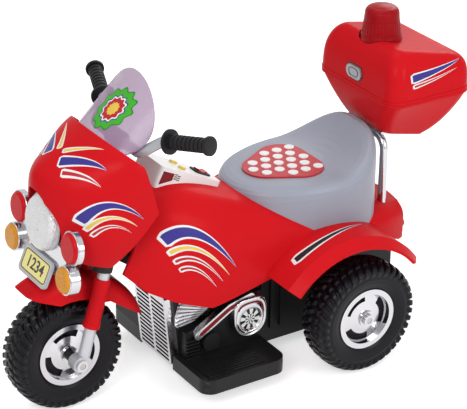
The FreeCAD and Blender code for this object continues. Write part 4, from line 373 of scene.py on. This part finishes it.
class MOTORBIKE_OT_finishes(bpy.types.Operator):
    """Builds the finishes of the frame's nodes, of the trim and of the printed films."""

    bl_idname = "motorbike.finishes"
    bl_label = "Finishes"

    def execute(self, context):
        for name, tint, *skin, more in FINISHES:
            finish(name, rgb(tint) if isinstance(tint, str) else (*tint, 1.0), *skin, **more)
        printed_films()
        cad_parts["box_latch"].material_slots[0].material = bpy.data.materials["latch_silver"]
        return {"FINISHED"}


def seen_or_lit(tree, lit, seen):
    """Shader socket: seen to camera, glossy and transmission rays, which show the background, else lit."""
    rays = shader_node(tree, "LightPath").outputs
    share = math_node(tree, "MAXIMUM", rays["Is Camera Ray"], rays["Is Glossy Ray"])
    share = math_node(tree, "MAXIMUM", share, rays["Is Transmission Ray"])
    return shader_node(tree, "MixShader", {0: share, 1: lit, 2: seen}).outputs[0]


def studio_world(scene):
    """White where it is seen; its light on the object is a grey that changes with the source's height."""
    scene.world = bpy.data.worlds.new("studio")
    tree = emptied(scene.world)
    height = shader_node(tree, "SeparateXYZ", {0: coordinate(tree, "Generated")}).outputs["Z"]
    greys = [(position, (grey, grey, grey, 1.0)) for position, grey in SKY_GREYS]
    shade = ramp_colour(tree, math_node(tree, "MULTIPLY_ADD", height, 0.5, 0.5), greys)
    lit = shader_node(tree, "Background", {"Color": shade, "Strength": SKY_STRENGTH}).outputs[0]
    seen = shader_node(tree, "Background", {"Color": (1.0, 1.0, 1.0, 1.0), "Strength": 1.0}).outputs[0]
    shader_node(tree, "OutputWorld", {0: seen_or_lit(tree, lit, seen)})


def studio_floor():
    """Level pale sheet under the tyres, with a faint glow where it is seen."""
    span = np.array([-FLOOR_REACH, FLOOR_REACH])
    floor = sheet_object("studio_floor", grid(span[:, None], span, FLOOR_LEVEL))
    ground = bpy.data.materials.new("floor_white")
    tree = emptied(ground)
    plain = shader_node(tree, "BsdfDiffuse", {"Color": (0.93, 0.93, 0.93, 1)}).outputs[0]
    glow = shader_node(tree, "Emission", {"Strength": FLOOR_GLOW}).outputs[0]
    pale = shader_node(tree, "AddShader", {0: plain, 1: glow}).outputs[0]
    shader_node(tree, "OutputMaterial", {0: seen_or_lit(tree, plain, pale)})
    floor.data.materials.append(ground)


def studio_lamps(scene):
    """Soft round lamps, each turned to one point inside the object."""
    for name, place, width, power in LAMPS:
        data = bpy.data.lights.new(name, "AREA")
        data.shape = "DISK"
        data.size = width
        data.energy = power
        lamp = bpy.data.objects.new(name, data)
        back = Vector(place) - Vector(LAMP_AIM)
        lamp.matrix_world = Matrix.Translation(place) @ back.to_track_quat("Z", "Y").to_matrix().to_4x4()
        scene.collection.objects.link(lamp)


def picture_camera(scene):
    """Camera of the picture, its axes worked out from its turn, rise and roll."""
    turn, rise, roll = (math.radians(angle) for angle in CAMERA_ANGLES)
    back = Vector((math.sin(turn) * math.cos(rise), -math.cos(turn) * math.cos(rise), math.sin(rise)))
    level = Vector((math.cos(turn), math.sin(turn), 0.0))
    right = level * math.cos(roll) + back.cross(level) * math.sin(roll)
    up = back.cross(right)
    data = bpy.data.cameras.new("picture")
    data.sensor_fit = "HORIZONTAL"
    data.sensor_width = SENSOR_WIDTH
    data.lens = FOCAL_PIXELS / PICTURE_PIXELS * SENSOR_WIDTH
    camera = bpy.data.objects.new("picture", data)
    axes = Matrix((right, up, back)).transposed().to_4x4()
    camera.matrix_world = Matrix.Translation(CAMERA_PLACE) @ axes
    scene.collection.objects.link(camera)
    scene.camera = camera


class MOTORBIKE_OT_stage(bpy.types.Operator):
    """Pale floor, white surround, soft lamps and the camera of the picture."""

    bl_idname = "motorbike.stage"
    bl_label = "Stage"

    def execute(self, context):
        scene = context.scene
        scene.view_settings.view_transform = "Standard"
        studio_world(scene)
        studio_floor()
        studio_lamps(scene)
        picture_camera(scene)
        return {"FINISHED"}


def grid(x, y, z):
    """Points in an array whose last axis is x, y, z, from three coordinates that broadcast together."""
    return np.stack(np.broadcast_arrays(x, y, z), -1)


def facing(points, side):
    """The grid as it is on the left; on the right its rows run the other way, so its faces point outwards."""
    return points if side > 0 else points[::-1]


def sheet_object(name, points, wrap_rows=False, wrap_columns=False, uv=True):
    """Object of quads over a grid of points (rows, columns, 3).

    A wrapped side joins its last line to its first. The UV map runs from 0 to 1, U over rows, V over columns.
    """
    rows, columns = points.shape[:2]
    index = np.arange(rows * columns).reshape(rows, columns)
    if wrap_rows:
        index = np.vstack([index, index[:1]])
    if wrap_columns:
        index = np.hstack([index, index[:, :1]])
    quads = np.stack([index[:-1, :-1], index[1:, :-1], index[1:, 1:], index[:-1, 1:]], -1).reshape(-1, 4)
    mesh = bpy.data.meshes.new(name)
    mesh.vertices.add(rows * columns)
    mesh.vertices.foreach_set("co", points.astype(np.float32).ravel())
    mesh.loops.add(quads.size)
    mesh.loops.foreach_set("vertex_index", quads.ravel().astype(np.int32))
    mesh.polygons.add(len(quads))
    mesh.polygons.foreach_set("loop_start", np.arange(0, quads.size, 4, dtype=np.int32))
    mesh.polygons.foreach_set("use_smooth", np.ones(len(quads), bool))
    mesh.update(calc_edges=True)
    if uv:
        u, v = (np.linspace(0, 1, count) for count in index.shape)
        flat = np.stack(np.meshgrid(u, v, indexing="ij"), -1)
        corners = np.stack([flat[:-1, :-1], flat[1:, :-1], flat[1:, 1:], flat[:-1, 1:]], 2)
        mesh.uv_layers.new(name="UVMap").uv.foreach_set("vector", corners.astype(np.float32).ravel())
    mesh.validate()
    piece = bpy.data.objects.new(name, mesh)
    bpy.context.scene.collection.objects.link(piece)
    return piece


def merged(piece):
    """The piece with the points of its poles and seams joined and its faces turned outwards."""
    shape = bmesh.new()
    shape.from_mesh(piece.data)
    bmesh.ops.remove_doubles(shape, verts=shape.verts, dist=1e-6)
    bmesh.ops.dissolve_degenerate(shape, dist=1e-7, edges=shape.edges)
    bmesh.ops.recalc_face_normals(shape, faces=shape.faces)
    shape.to_mesh(piece.data)
    shape.free()
    return piece


def ring_object(name, points):
    """Closed form over a grid whose rows and columns both run round."""
    return merged(sheet_object(name, points, wrap_rows=True, wrap_columns=True, uv=False))


def ridden(piece, body, material):
    """The piece with its material, riding on a body and taking its finish from a slot."""
    piece.data.materials.clear()
    piece.data.materials.append(bpy.data.materials[material])
    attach(piece, body)
    return piece


def smoothstep(low, high, value):
    """0 before low, 1 past high, a soft rise between; high may lie below low."""
    t = np.clip((value - low) / (high - low), 0.0, 1.0)
    return t * t * (3.0 - 2.0 * t)


def turned(name, along, radius, count, centre, axis, wave=None, closed=False):
    """Form turned round an axis: rows follow a profile (along, radius), columns go round.

    wave, if given, is a share that swells the radius over the same grid. A closed profile ends at its start.
    """
    if closed:
        along, radius = np.append(along, along[0]), np.append(radius, radius[0])
    angle = np.linspace(0.0, TAU, count, endpoint=False)
    reach = radius[:, None] * np.ones(count)
    if wave is not None:
        reach = reach * (1.0 + wave(along[:, None], angle[None, :]))
    w = Vector(axis).normalized()
    u = w.orthogonal().normalized()
    v = w.cross(u)
    points = (np.array(centre) + along[:, None, None] * np.array(w)
              + (reach * np.cos(angle))[..., None] * np.array(u)
              + (reach * np.sin(angle))[..., None] * np.array(v))
    return merged(sheet_object(name, points, wrap_columns=True, uv=False))


def framed(origin, tilt):
    """Matrix of a frame turned about the Y axis by a tilt in degrees, with its origin in millimetres."""
    return Matrix.Translation(Vector(origin) / 1000) @ Matrix.Rotation(math.radians(tilt), 4, "Y")


def moved(points, matrix):
    """Grid of points carried by a matrix."""
    m = np.array(matrix)
    return points @ m[:3, :3].T + m[:3, 3]


def across_line(slope):
    """Unit normals of a plane line, its slopes turned by a quarter."""
    normal = np.stack([-slope[:, 1], slope[:, 0]], 1)
    return normal / np.linalg.norm(normal, axis=1, keepdims=True)


def streak(corners, width):
    """Leaf of a plane along the quadratic arc of three corners.

    Its half width swells from one blunt end with the root of the distance, and runs out to a point.
    """
    rows, columns, blunt, least = 60, 9, 0.12, 0.00012
    a, b, c = (np.array(corner) for corner in corners)
    s = np.linspace(0.0, 1.0, rows)
    t = s[:, None]
    line = (1 - t) ** 2 * a + 2 * t * (1 - t) * b + t ** 2 * c
    normal = across_line(2 * (1 - t) * (b - a) + 2 * t * (c - b))
    half = width * np.minimum(1.0, (s + 0.05) / blunt) ** 0.5 * (1.0 - s) ** 0.85 + least
    spread = half[:, None] * np.linspace(-1.0, 1.0, columns)
    return line[:, None, :] + normal[:, None, :] * spread[..., None]


def both_sides(plane, along):
    """The sheet and its mirror image in the bike's middle plane, each with the side it is dropped from.

    Dropped across the bike it is the same sheet from the other side; dropped from above, Y changes its sign.
    """
    if along == Y:
        return ((plane, 1.0, "left"), (plane, -1.0, "right"))
    return ((plane, 1.0, "left"), (plane * np.array([1.0, -1.0]), 1.0, "right"))


def film(name, node, plane, along, side, body, material):
    """Printed film: a plane sheet dropped along one axis on to a node's surface and kept just over it.

    plane holds the sheet's two coordinates in the frame's order, along is the axis of the drop and side the
    end of that axis from which it starts.
    """
    start = DROP_START * side
    points = np.full((*plane.shape[:2], 3), start)
    points[..., [k for k in range(3) if k != along]] = plane
    if np.cross(points[-1, 0] - points[0, 0], points[0, -1] - points[0, 0])[along] * side < 0:
        points = points[:, ::-1]
    piece = sheet_object(name, points)
    wrap = piece.modifiers.new("drop", "SHRINKWRAP")
    wrap.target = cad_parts[node]
    wrap.wrap_method = "PROJECT"
    wrap.wrap_mode = "ABOVE_SURFACE"
    wrap.use_project_x, wrap.use_project_y, wrap.use_project_z = (along == k for k in range(3))
    wrap.use_negative_direction = side > 0
    wrap.use_positive_direction = side < 0
    wrap.offset = bpy.context.scene.motorbike_sizes.decal_lift
    laid = bpy.data.meshes.new_from_object(piece.evaluated_get(bpy.context.evaluated_depsgraph_get()))
    piece.modifiers.clear()
    piece.data = laid
    laid.name = name
    place = np.empty(len(laid.vertices) * 3, np.float32)
    laid.vertices.foreach_get("co", place)
    if np.abs(place[along::3] - start).min() < DROP_MISS:
        raise RuntimeError(f"{name} misses {node}")
    return ridden(piece, body, material)


def chequered(piece, times):
    """The piece with its V map repeated, and shifted by half a step over the far half of U."""
    uv = piece.data.uv_layers[0].uv
    flat = np.empty(len(uv) * 2, np.float32)
    uv.foreach_get("vector", flat)
    flat = flat.reshape(-1, 2)
    flat[:, 1] = (flat[:, 1] * times + np.where(flat[:, 0] > 0.5, 0.5, 0.0)) % 1.0
    uv.foreach_set("vector", flat.ravel())
    return piece


def tyre_points(centre, lugs, height):
    """Grid of a tyre: a closed section carried round the axle.

    The section is a smooth line through (y, radius) stations from bead over crown to bead, closed along the
    rim seat. A block stands out along the section's normal where the angle, skewed with the distance q from
    the crown and shifted by half a pitch between the two halves, falls inside its part of the pitch. Blocks
    stop at a groove on the crown and one on each half, and fade down the wall, which has two thin ribs.
    """
    half = np.array([(0.0, 104.5), (8.0, 104.3), (16.0, 103.6), (23.0, 102.2), (28.5, 99.6), (32.2, 95.2),
                     (34.2, 89.0), (34.8, 82.0), (33.8, 74.0), (31.2, 66.0), (27.6, 60.0),
                     (25.0, 57.2)]) / 1000
    step = np.concatenate([[0], np.cumsum(np.linalg.norm(np.diff(half, axis=0), axis=1))])
    tread_end = 0.046
    q = np.concatenate([np.linspace(0, tread_end, 34, endpoint=False), np.linspace(tread_end, step[-1], 16)])
    y, r = np.interp(q, step, half[:, 0]), np.interp(q, step, half[:, 1])
    for line in (y, r):
        line[1:-1] = (line[:-2] + 2 * line[1:-1] + line[2:]) / 4
    q, y = np.concatenate([-q[:0:-1], q]), np.concatenate([-y[:0:-1], y])
    r = np.concatenate([r[:0:-1], r])
    normal = np.stack([np.gradient(r), -np.gradient(y)], 1)
    normal /= -np.linalg.norm(normal, axis=1, keepdims=True)
    points_per_lug, skew_length = 15, 0.034
    angle = np.linspace(0, TAU, lugs * points_per_lug, endpoint=False)[:, None]
    far = np.abs(q)[None, :]
    turn = angle * lugs / TAU + np.where(q >= 0, 0.0, 0.5)[None, :] + far / skew_length
    block = smoothstep(0.35, 0.26, np.abs(turn % 1.0 - 0.5))
    crown_land = smoothstep(0.0012, 0.0026, far)
    side_groove = smoothstep(0.0155, 0.0162, far) * smoothstep(0.0188, 0.0181, far)
    wall_fade = smoothstep(0.043, 0.034, far)
    block = block * crown_land * (1 - side_groove) * wall_fade
    ribs = sum(smoothstep(0.0012, 0.0004, np.abs(far - at)) for at in (0.0475, 0.0660))
    rise = height * block + 0.0007 * ribs
    out = np.minimum(r + rise * normal[:, 1], TYRE_RADIUS)
    side = y + rise * normal[:, 0]
    return grid(out * np.cos(angle), side, out * np.sin(angle)) + np.array(centre)


class MOTORBIKE_OT_tyres(bpy.types.Operator):
    """Knobbly tyres in place of the plain ones."""

    bl_idname = "motorbike.tyres"
    bl_label = "Tyres"

    def execute(self, context):
        sizes = context.scene.motorbike_sizes
        for pattern, body in WHEELS:
            node = pattern.format("tyre")
            low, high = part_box(node)
            points = tyre_points((low + high) / 2, sizes.lug_count, sizes.lug_height)
            tyre = ridden(ring_object(node + "_tread", points), body, "tyre_black")
            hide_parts(node)
        return {"FINISHED"}


class MOTORBIKE_OT_wheel_cores(bpy.types.Operator):
    """Black rings in the hollow of the rims, seen through their windows: a box section with eased corners,
    carried round the axle."""

    bl_idname = "motorbike.wheel_cores"
    bl_label = "Wheel Cores"

    def execute(self, context):
        along = np.array([-11.4, -11.8, -11.8, -11.4, 11.4, 11.8, 11.8, 11.4]) / 1000
        radius = np.array([16.4, 16.9, 52.2, 52.7, 52.7, 52.2, 16.9, 16.4]) / 1000
        for pattern, body in WHEELS:
            low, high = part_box(pattern.format("tyre"))
            core = turned(pattern.format("rim") + "_core", along, radius, 96, (low + high) / 2, (0, 1, 0),
                          closed=True)
            ridden(core, body, "tyre_black")
        return {"FINISHED"}


class MOTORBIKE_OT_beacon(bpy.types.Operator):
    """Fluted beacon dome in place of the plain one: a profile carried round the upright axis.

    Its heights are shares of the dome's height. Over an inner wall come a foot, a tapering wall with a
    groove, a rounded shoulder and a low crown. A cosine of the angle swells the radius in the band of flutes.
    """

    bl_idname = "motorbike.beacon"
    bl_label = "Beacon"

    def execute(self, context):
        low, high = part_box("beacon_dome")
        tall = high.z - low.z
        wide = (high.y - low.y) / 2
        top = wide * 33 / 39
        groove, shoulder, rounding, flute_count, flute_depth = 0.59, 0.80, 0.155, 36, 0.012
        bend = 1 - np.sin(np.linspace(0.1, 1, 9) * math.pi / 2)
        outer_h = np.concatenate([[0.0, 0.02, 0.14, 0.165, 0.175], np.linspace(0.19, 0.56, 12),
                                  [0.575, groove, 0.605], np.linspace(0.62, shoulder, 6),
                                  0.955 - 0.15 * bend])
        outer_r = wide + (top - wide) * np.minimum(outer_h, 0.9) / 0.9
        outer_r = outer_r * np.where(outer_h < 0.17, 1.0, 0.955)
        outer_r = outer_r * np.where(np.abs(outer_h - groove) < 0.012, 0.975, 1.0)
        curl = np.clip((outer_h - shoulder) / rounding, 0, 1)
        outer_r = outer_r - 0.30 * top * (1 - np.sqrt(np.clip(1 - curl ** 2, 0, 1)))
        crown_h, crown_r = [0.970, 0.986, 0.997, 1.0], outer_r[-1] * np.array([0.85, 0.6, 0.3, 0.0])
        inner_h = [0.915, 0.915, 0.86, 0.5, 0.0]
        inner_r = [0.0, 0.5 * top, 0.88 * top, wide * 0.87, wide * 0.90]
        rows_h = np.concatenate([inner_h, outer_h, crown_h])
        rows_r = np.concatenate([inner_r, outer_r, crown_r])
        outside = (np.arange(len(rows_h)) >= len(inner_h))[:, None]

        def flutes(along, angle):
            band = smoothstep(0.19 * tall, 0.21 * tall, along) * smoothstep(0.57 * tall, 0.55 * tall, along)
            return flute_depth * band * np.cos(flute_count * angle) * outside

        dome = turned("beacon_dome_fluted", rows_h * tall, rows_r, 6 * flute_count,
                      ((low.x + high.x) / 2, 0.0, low.z), (0, 0, 1), flutes)
        ridden(dome, "lid", "beacon_red")
        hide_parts("beacon_dome")
        return {"FINISHED"}


class MOTORBIKE_OT_stripes(bpy.types.Operator):
    """Plain printed stripes on the shells, and on the windshield a badge: a disc whose edge waves with the
    cosine of eleven times the angle."""

    bl_idname = "motorbike.stripes"
    bl_label = "Stripes"

    def execute(self, context):
        for node, body, along, rows in STRIPES:
            for name, material, corners, width in rows:
                for plane, side, tag in both_sides(streak(corners, width), along):
                    film(f"stripe_{name}_{tag}", node, plane, along, side, body, material)

        spread = np.linspace(0.0, 1.0, 26)[:, None]
        angle = np.linspace(0.0, TAU, 181)[None, :]
        edge = 0.0345 * (1.0 + 0.08 * np.cos(11 * angle)) * spread
        badge = np.stack([0.016 + edge * np.cos(angle), 0.560 + 0.84 * edge * np.sin(angle)], -1)
        film("shield_badge", "windshield", badge, X, 1.0, "steering", "film_badge")
        return {"FINISHED"}


def plate_figures(context, plate):
    """Object of four raised figures in the YZ plane of the plate's frame, made from text."""
    words = bpy.data.curves.new("plate_figures", "FONT")
    words.body = "1234"
    words.size = 0.0300
    words.extrude = 0.00025
    words.offset = 0.0004
    words.align_x = "CENTER"
    words.align_y = "CENTER"
    draft = bpy.data.objects.new("plate_draft", words)
    context.scene.collection.objects.link(draft)
    context.view_layer.update()
    shape = bpy.data.meshes.new_from_object(draft.evaluated_get(context.evaluated_depsgraph_get()))
    bpy.data.objects.remove(draft)
    upright = Matrix(((0, 0, 1, 0), (1, 0, 0, 0), (0, 1, 0, 0), (0, 0, 0, 1)))
    shape.transform(plate @ Matrix.Translation((-0.00015, 0, 0)) @ upright)
    shape.name = "plate_figures"
    figures = bpy.data.objects.new("plate_figures", shape)
    context.scene.collection.objects.link(figures)
    return figures


def plate_border():
    """Grid of the border, in four lines: a rectangle with round corners, from low powers of cosine and sine.

    The lines are the foot and the top of its outer edge, then the top and the foot of its inner edge.
    """
    angle = np.linspace(0, TAU, 160, endpoint=False)
    half_width, half_height, power = 0.0434, 0.0190, 0.16
    y = half_width * np.sign(np.cos(angle)) * np.abs(np.cos(angle)) ** power
    z = half_height * np.sign(np.sin(angle)) * np.abs(np.sin(angle)) ** power
    wider = 1 + np.array([0.006, 0.0, -0.036, -0.042])
    taller = 1 + np.array([0.014, 0.0, -0.082, -0.096])
    proud = np.array([-0.0003, 0.0001, 0.0001, -0.0003])
    return grid(proud, y[:, None] * wider, z[:, None] * taller)


class MOTORBIKE_OT_plate_print(bpy.types.Operator):
    """Border line and plain figures on the number plate."""

    bl_idname = "motorbike.plate_print"
    bl_label = "Plate Print"

    def execute(self, context):
        plate = framed((407.0, 0.0, 290.0), -24.0)
        figures = merged(plate_figures(context, plate))
        ridden(figures, "steering", "print_black")
        border = ring_object("plate_border", moved(plate_border(), plate))
        ridden(border, "steering", "print_blue")
        return {"FINISHED"}


def eased(corners, count):
    """Points spaced evenly along a line of corners, with its turns eased by repeated averaging."""
    passes = 24
    corners = np.asarray(corners)
    step = np.concatenate([[0], np.cumsum(np.linalg.norm(np.diff(corners, axis=0), axis=1))])
    s = np.linspace(0, step[-1], count)
    line = np.stack([np.interp(s, step, corners[:, k]) for k in range(corners.shape[1])], 1)
    for _ in range(passes):
        line[1:-1] = (line[:-2] + 2 * line[1:-1] + line[2:]) / 4
    return line


def arm_inlay(side):
    """Grid of a strip along an eased line: an even half width, rounded at both ends, crowned across."""
    rows, columns, half_width, foot, crown = 60, 9, 0.0042, 0.0942, 0.0010
    line = eased([(0.128, 0.1115), (0.062, 0.1500), (0.024, 0.1590)], rows)
    normal = across_line(np.gradient(line, axis=0))
    t = np.linspace(-1, 1, columns)
    ends = np.sqrt(np.clip(1 - np.linspace(-1, 1, rows) ** 12, 0, 1))[:, None]
    flat = line[:, None, :] + normal[:, None, :] * (half_width * ends * t)[..., None]
    return facing(grid(flat[..., 0], side * (foot + crown * (1 - t ** 4) * ends), flat[..., 1]), side)


def cover_points(reach, angle, level, side):
    """Grid round the engine cover's axle: a reach at each angle, at a level off the bike's middle plane."""
    return facing(grid(COVER_X + reach * np.cos(angle), side * level, COVER_Z + reach * np.sin(angle)), side)


class MOTORBIKE_OT_engine_trim(bpy.types.Operator):
    """Inlays, badge discs and bright plates of the engine dress, and painted shade in the radiator's slots:
    dark sheets in their pockets.

    A cover's plate is a stepped profile from its round hole to its outline, which is a circle below and a
    squarish oval of the fourth power above. Its inlay follows part of that outline. The badge is a low dome.
    """

    bl_idname = "motorbike.engine_trim"
    bl_label = "Engine Trim"

    def execute(self, context):
        spread = np.linspace(0.0, 1.0, 8)[::-1, None]
        dome = 0.0960 + 0.0012 * (1 - spread ** 2)
        turn = np.linspace(0.0, TAU, 160, endpoint=False)
        half_width, half_height = 35.0, 44.0
        oval = ((np.abs(np.cos(turn)) / half_width) ** 4 + (np.abs(np.sin(turn)) / half_height) ** 4) ** -0.25
        outline = np.where(np.sin(turn) > 0, oval, half_width) / 1000
        share = np.array([0.0, 0.0, 0.06, 0.16, 0.30, 0.40, 0.46, 0.62, 0.68, 0.78, 0.92, 1.0, 1.0])[:, None]
        level = np.array([95.6, 98.0, 98.9, 99.3, 99.3, 98.9, 98.1, 98.1, 98.9, 99.4, 99.2, 98.2, 81.0])
        inlay_arc, inlay_share = slice(18, 74), np.linspace(0.45, 0.63, 5)[:, None]
        for side, tag in SIDES:
            ridden(sheet_object(f"arm_inlay_{tag}", arm_inlay(side)), "frame", "inlay_red")
            disc = cover_points(0.0205 * spread, np.linspace(0.0, TAU, 97), dome, side)
            badge = chequered(sheet_object(f"cover_badge_{tag}", disc), 8)
            ridden(badge, "frame", "film_spokes")
            reach = COVER_HOLE + (outline - COVER_HOLE) * share
            points = cover_points(reach, turn, level[:, None] / 1000, side)
            plate = sheet_object(f"cover_plate_{tag}", points, wrap_columns=True, uv=False)
            ridden(plate, "frame", "chrome_trim")
            reach = COVER_HOLE + (outline[inlay_arc] - COVER_HOLE) * inlay_share
            points = cover_points(reach, turn[inlay_arc], 0.0985, side)
            ridden(sheet_object(f"plate_inlay_{tag}", points), "frame", "inlay_red")

        # painted shade: dark sheets at the bottoms of the grille's slot pockets, standing in for the shade of
        # their depth
        grille = framed((150.0, 0.0, 33.0), 5.974)
        for side, tag in SIDES:
            y, z = side * np.linspace(0.0042, 0.0488, 4)[:, None], np.linspace(0.0152, 0.1368, 4)
            points = moved(facing(grid(0.0041, y, z), side), grille)
            ridden(sheet_object(f"slot_dark_{tag}", points), "frame", "slot_black")
        return {"FINISHED"}


class MOTORBIKE_OT_console_trim(bpy.types.Operator):
    """Dark red panel and a chequered strip on each flank of the console: sheets that start just under its
    sloping top edge and change in depth along it."""

    bl_idname = "motorbike.console_trim"
    bl_label = "Console Trim"

    def execute(self, context):
        s, v = np.meshgrid(np.linspace(0.0, 1.0, 12), np.linspace(0.0, 1.0, 41), indexing="ij")
        lean = math.radians(27.5)
        edge_x, edge_z, margin = 0.1705, 0.4365, 0.0045
        # name, start and end along the top edge, depth at the start and at the end, finish
        for name, front, rear, deep, shallow, material in (
                ("panel", 0.0025, 0.0290, 0.0260, 0.0130, "inlay_red"),
                ("strip", 0.0305, 0.0450, 0.0125, 0.0105, "film_cheque")):
            back, down = front + (rear - front) * s, margin + (deep + (shallow - deep) * s) * v
            x = edge_x - back * math.cos(lean) + down * math.sin(lean)
            z = edge_z - back * math.sin(lean) - down * math.cos(lean)
            for side, tag in SIDES:
                piece = film(f"console_{name}_{tag}", "control_console", np.stack([x, z], -1), Y, side,
                             "frame", material)
                chequered(piece, 3)
        return {"FINISHED"}


class MOTORBIKE_OT_lamp_rings(bpy.types.Operator):
    """Bright bezels round the red and amber lamps: an oval section carried round the lamp's axis."""

    bl_idname = "motorbike.lamp_rings"
    bl_label = "Lamp Rings"

    def execute(self, context):
        turn = np.linspace(0.0, TAU, 16, endpoint=False)
        along, swell, set_back = 0.0032 * np.sin(turn), 0.0014 * np.cos(turn), 0.0020
        for kind, (x, y, z), radius in ROUND_LAMPS:
            for side, tag in SIDES:
                ring = turned(f"lamp_ring_{kind}_{tag}", along, radius + swell, 72,
                              (x - set_back, side * y, z), LAMP_AXIS, closed=True)
                ridden(ring, "steering", "chrome_trim")
        return {"FINISHED"}


class MOTORBIKE_OT_screws(bpy.types.Operator):
    """Domed screw heads where the shells are fastened: a flattened quarter circle carried round its axis."""

    bl_idname = "motorbike.screws"
    bl_label = "Screws"

    def execute(self, context):
        head_radius = context.scene.motorbike_sizes.screw_radius
        quarter = np.linspace(0.0, 1.0, 7) * math.pi / 2
        along = np.concatenate([[-0.0004], 0.45 * head_radius * np.sin(quarter)])
        radius = np.concatenate([[head_radius], head_radius * np.cos(quarter)])
        radius[-1] = 0.0
        places = ((0.030, 0.0985, 0.0905), (-0.010, 0.0625, 0.1900))
        both = [(side, place) for side, _ in SIDES for place in places]
        for number, (side, (x, y, z)) in enumerate(both):
            head = turned(f"screw_{number}", along, radius, 24, (x, side * y, z), (0, side, 0))
            ridden(head, "frame", "axle_steel")
        return {"FINISHED"}


class MOTORBIKE_OT_bar_caps(bpy.types.Operator):
    """Rounded caps on the ends of the grips: a low profile carried round the grip's axis."""

    bl_idname = "motorbike.bar_caps"
    bl_label = "Bar Caps"

    def execute(self, context):
        along = np.array([-0.2, -0.2, 0.6, 1.4, 2.0, 2.3, 2.4]) / 1000
        radius = np.array([0.0, 16.6, 16.8, 15.8, 12.0, 6.0, 0.0]) / 1000
        for side, tag in SIDES:
            cap = turned(f"grip_cap_{tag}", along, radius, 48, (0.17297, side * 0.19903, 0.54142),
                         (-0.324, side * 0.9257, 0.195))
            ridden(cap, "steering", "grip_black")
        return {"FINISHED"}


class MOTORBIKE_OT_board_webs(bpy.types.Operator):
    """Webs in the footboards' round corners: an upright rectangle carried along an arc, its ends closed."""

    bl_idname = "motorbike.board_webs"
    bl_label = "Board Webs"

    def execute(self, context):
        reach = np.array([23.95, 23.95, 19.0, 19.0]) / 1000
        level = np.array([33.05, 60.0, 60.0, 33.05]) / 1000
        sweep, middle_y = 66.0, 0.148
        for side, tag in SIDES:
            for corner, middle_x, start in (("front", 0.139, 12.0), ("rear", 0.010, 102.0)):
                angle = np.radians(np.linspace(start, start + sweep, 25))[:, None]
                x, y = middle_x + reach * np.cos(angle), side * (middle_y + reach * np.sin(angle))
                points = grid(x, y, level)
                ends = points[[0, -1]].mean(1, keepdims=True).repeat(len(reach), 1)
                points = np.concatenate([ends[:1], points, ends[1:]])
                web = merged(sheet_object(f"board_web_{corner}_{tag}", points, wrap_columns=True, uv=False))
                ridden(web, "frame", "black_plastic")
        return {"FINISHED"}


def stadium(half, radius, angle):
    """Points (2, n) of an oval with straight sides: a circle's points, each moved out to its own end."""
    return np.stack([half * np.sign(np.cos(angle)) + radius * np.cos(angle), radius * np.sin(angle)])


def bead(path, radius, count):
    """Grid of a round bar along a closed path of points (n, 3): circles across the path's own direction."""
    slope = np.roll(path, -1, 0) - np.roll(path, 1, 0)
    slope /= np.linalg.norm(slope, axis=1, keepdims=True)
    first = np.cross(slope, np.array([1.0, 0.0, 0.0]))
    first /= np.linalg.norm(first, axis=1, keepdims=True)
    second = np.cross(slope, first)
    angle = np.linspace(0.0, TAU, count, endpoint=False)[None, :, None]
    across = np.cos(angle) * first[:, None, :] + np.sin(angle) * second[:, None, :]
    return path[:, None, :] + radius * across


class MOTORBIKE_OT_latch_rings(bpy.types.Operator):
    """Painted shade round the latch on the box, a flat dark oval band in its gap, and a thin dark oval bead
    of painted shade on its button.
    """

    bl_idname = "motorbike.latch_rings"
    bl_label = "Latch Rings"

    def execute(self, context):
        angle = np.linspace(0.0, TAU, 121)
        y, z = np.stack([stadium(0.0105, radius / 1000, angle) for radius in (13.3, 14.3, 15.4)], 1)
        # painted shade: a dark band where the gap round the latch lies in shade
        film("latch_surround", "box_lid", np.stack([y, LATCH_Z + z], -1), X, 1.0, "lid", "slot_black")
        y, z = stadium(0.0060, 0.0078, angle[:-1])
        # painted shade: a dark bead where the groove round the button lies in shade
        ring = ring_object("latch_ring", bead(grid(-0.2629, y, LATCH_Z + z), 0.0007, 8))
        ridden(ring, "latch", "slot_black")
        return {"FINISHED"}


class MOTORBIKE_PT_pieces(bpy.types.Panel):
    """Lists the motorbike's pieces in the sidebar."""

    bl_label = "Motorbike"
    bl_idname = "MOTORBIKE_PT_pieces"
    bl_space_type = "VIEW_3D"
    bl_region_type = "UI"
    bl_category = "Motorbike"

    def draw(self, context):
        for step in STEPS:
            self.layout.operator(step.bl_idname)


STEPS = (MOTORBIKE_OT_finishes, MOTORBIKE_OT_tyres, MOTORBIKE_OT_wheel_cores, MOTORBIKE_OT_beacon,
         MOTORBIKE_OT_stripes, MOTORBIKE_OT_plate_print, MOTORBIKE_OT_engine_trim,
         MOTORBIKE_OT_console_trim, MOTORBIKE_OT_lamp_rings, MOTORBIKE_OT_screws, MOTORBIKE_OT_bar_caps,
         MOTORBIKE_OT_board_webs, MOTORBIKE_OT_latch_rings, MOTORBIKE_OT_stage)
CLASSES = (MotorbikeSizes, MotorbikeColours, *STEPS, MOTORBIKE_PT_pieces)


def register():
    """Adds the classes and the scene's settings."""
    for each in CLASSES:
        bpy.utils.register_class(each)
    bpy.types.Scene.motorbike_sizes = bpy.props.PointerProperty(type=MotorbikeSizes)
    bpy.types.Scene.motorbike_colours = bpy.props.PointerProperty(type=MotorbikeColours)


def unregister():
    """Takes the classes and settings away again."""
    del bpy.types.Scene.motorbike_colours
    del bpy.types.Scene.motorbike_sizes
    for each in reversed(CLASSES):
        bpy.utils.unregister_class(each)


def main():
    """Registers the classes, then builds every piece in order."""
    register()
    for step in STEPS:
        getattr(bpy.ops.motorbike, step.bl_idname.partition(".")[2])()


if __name__ == "__main__":
    main()
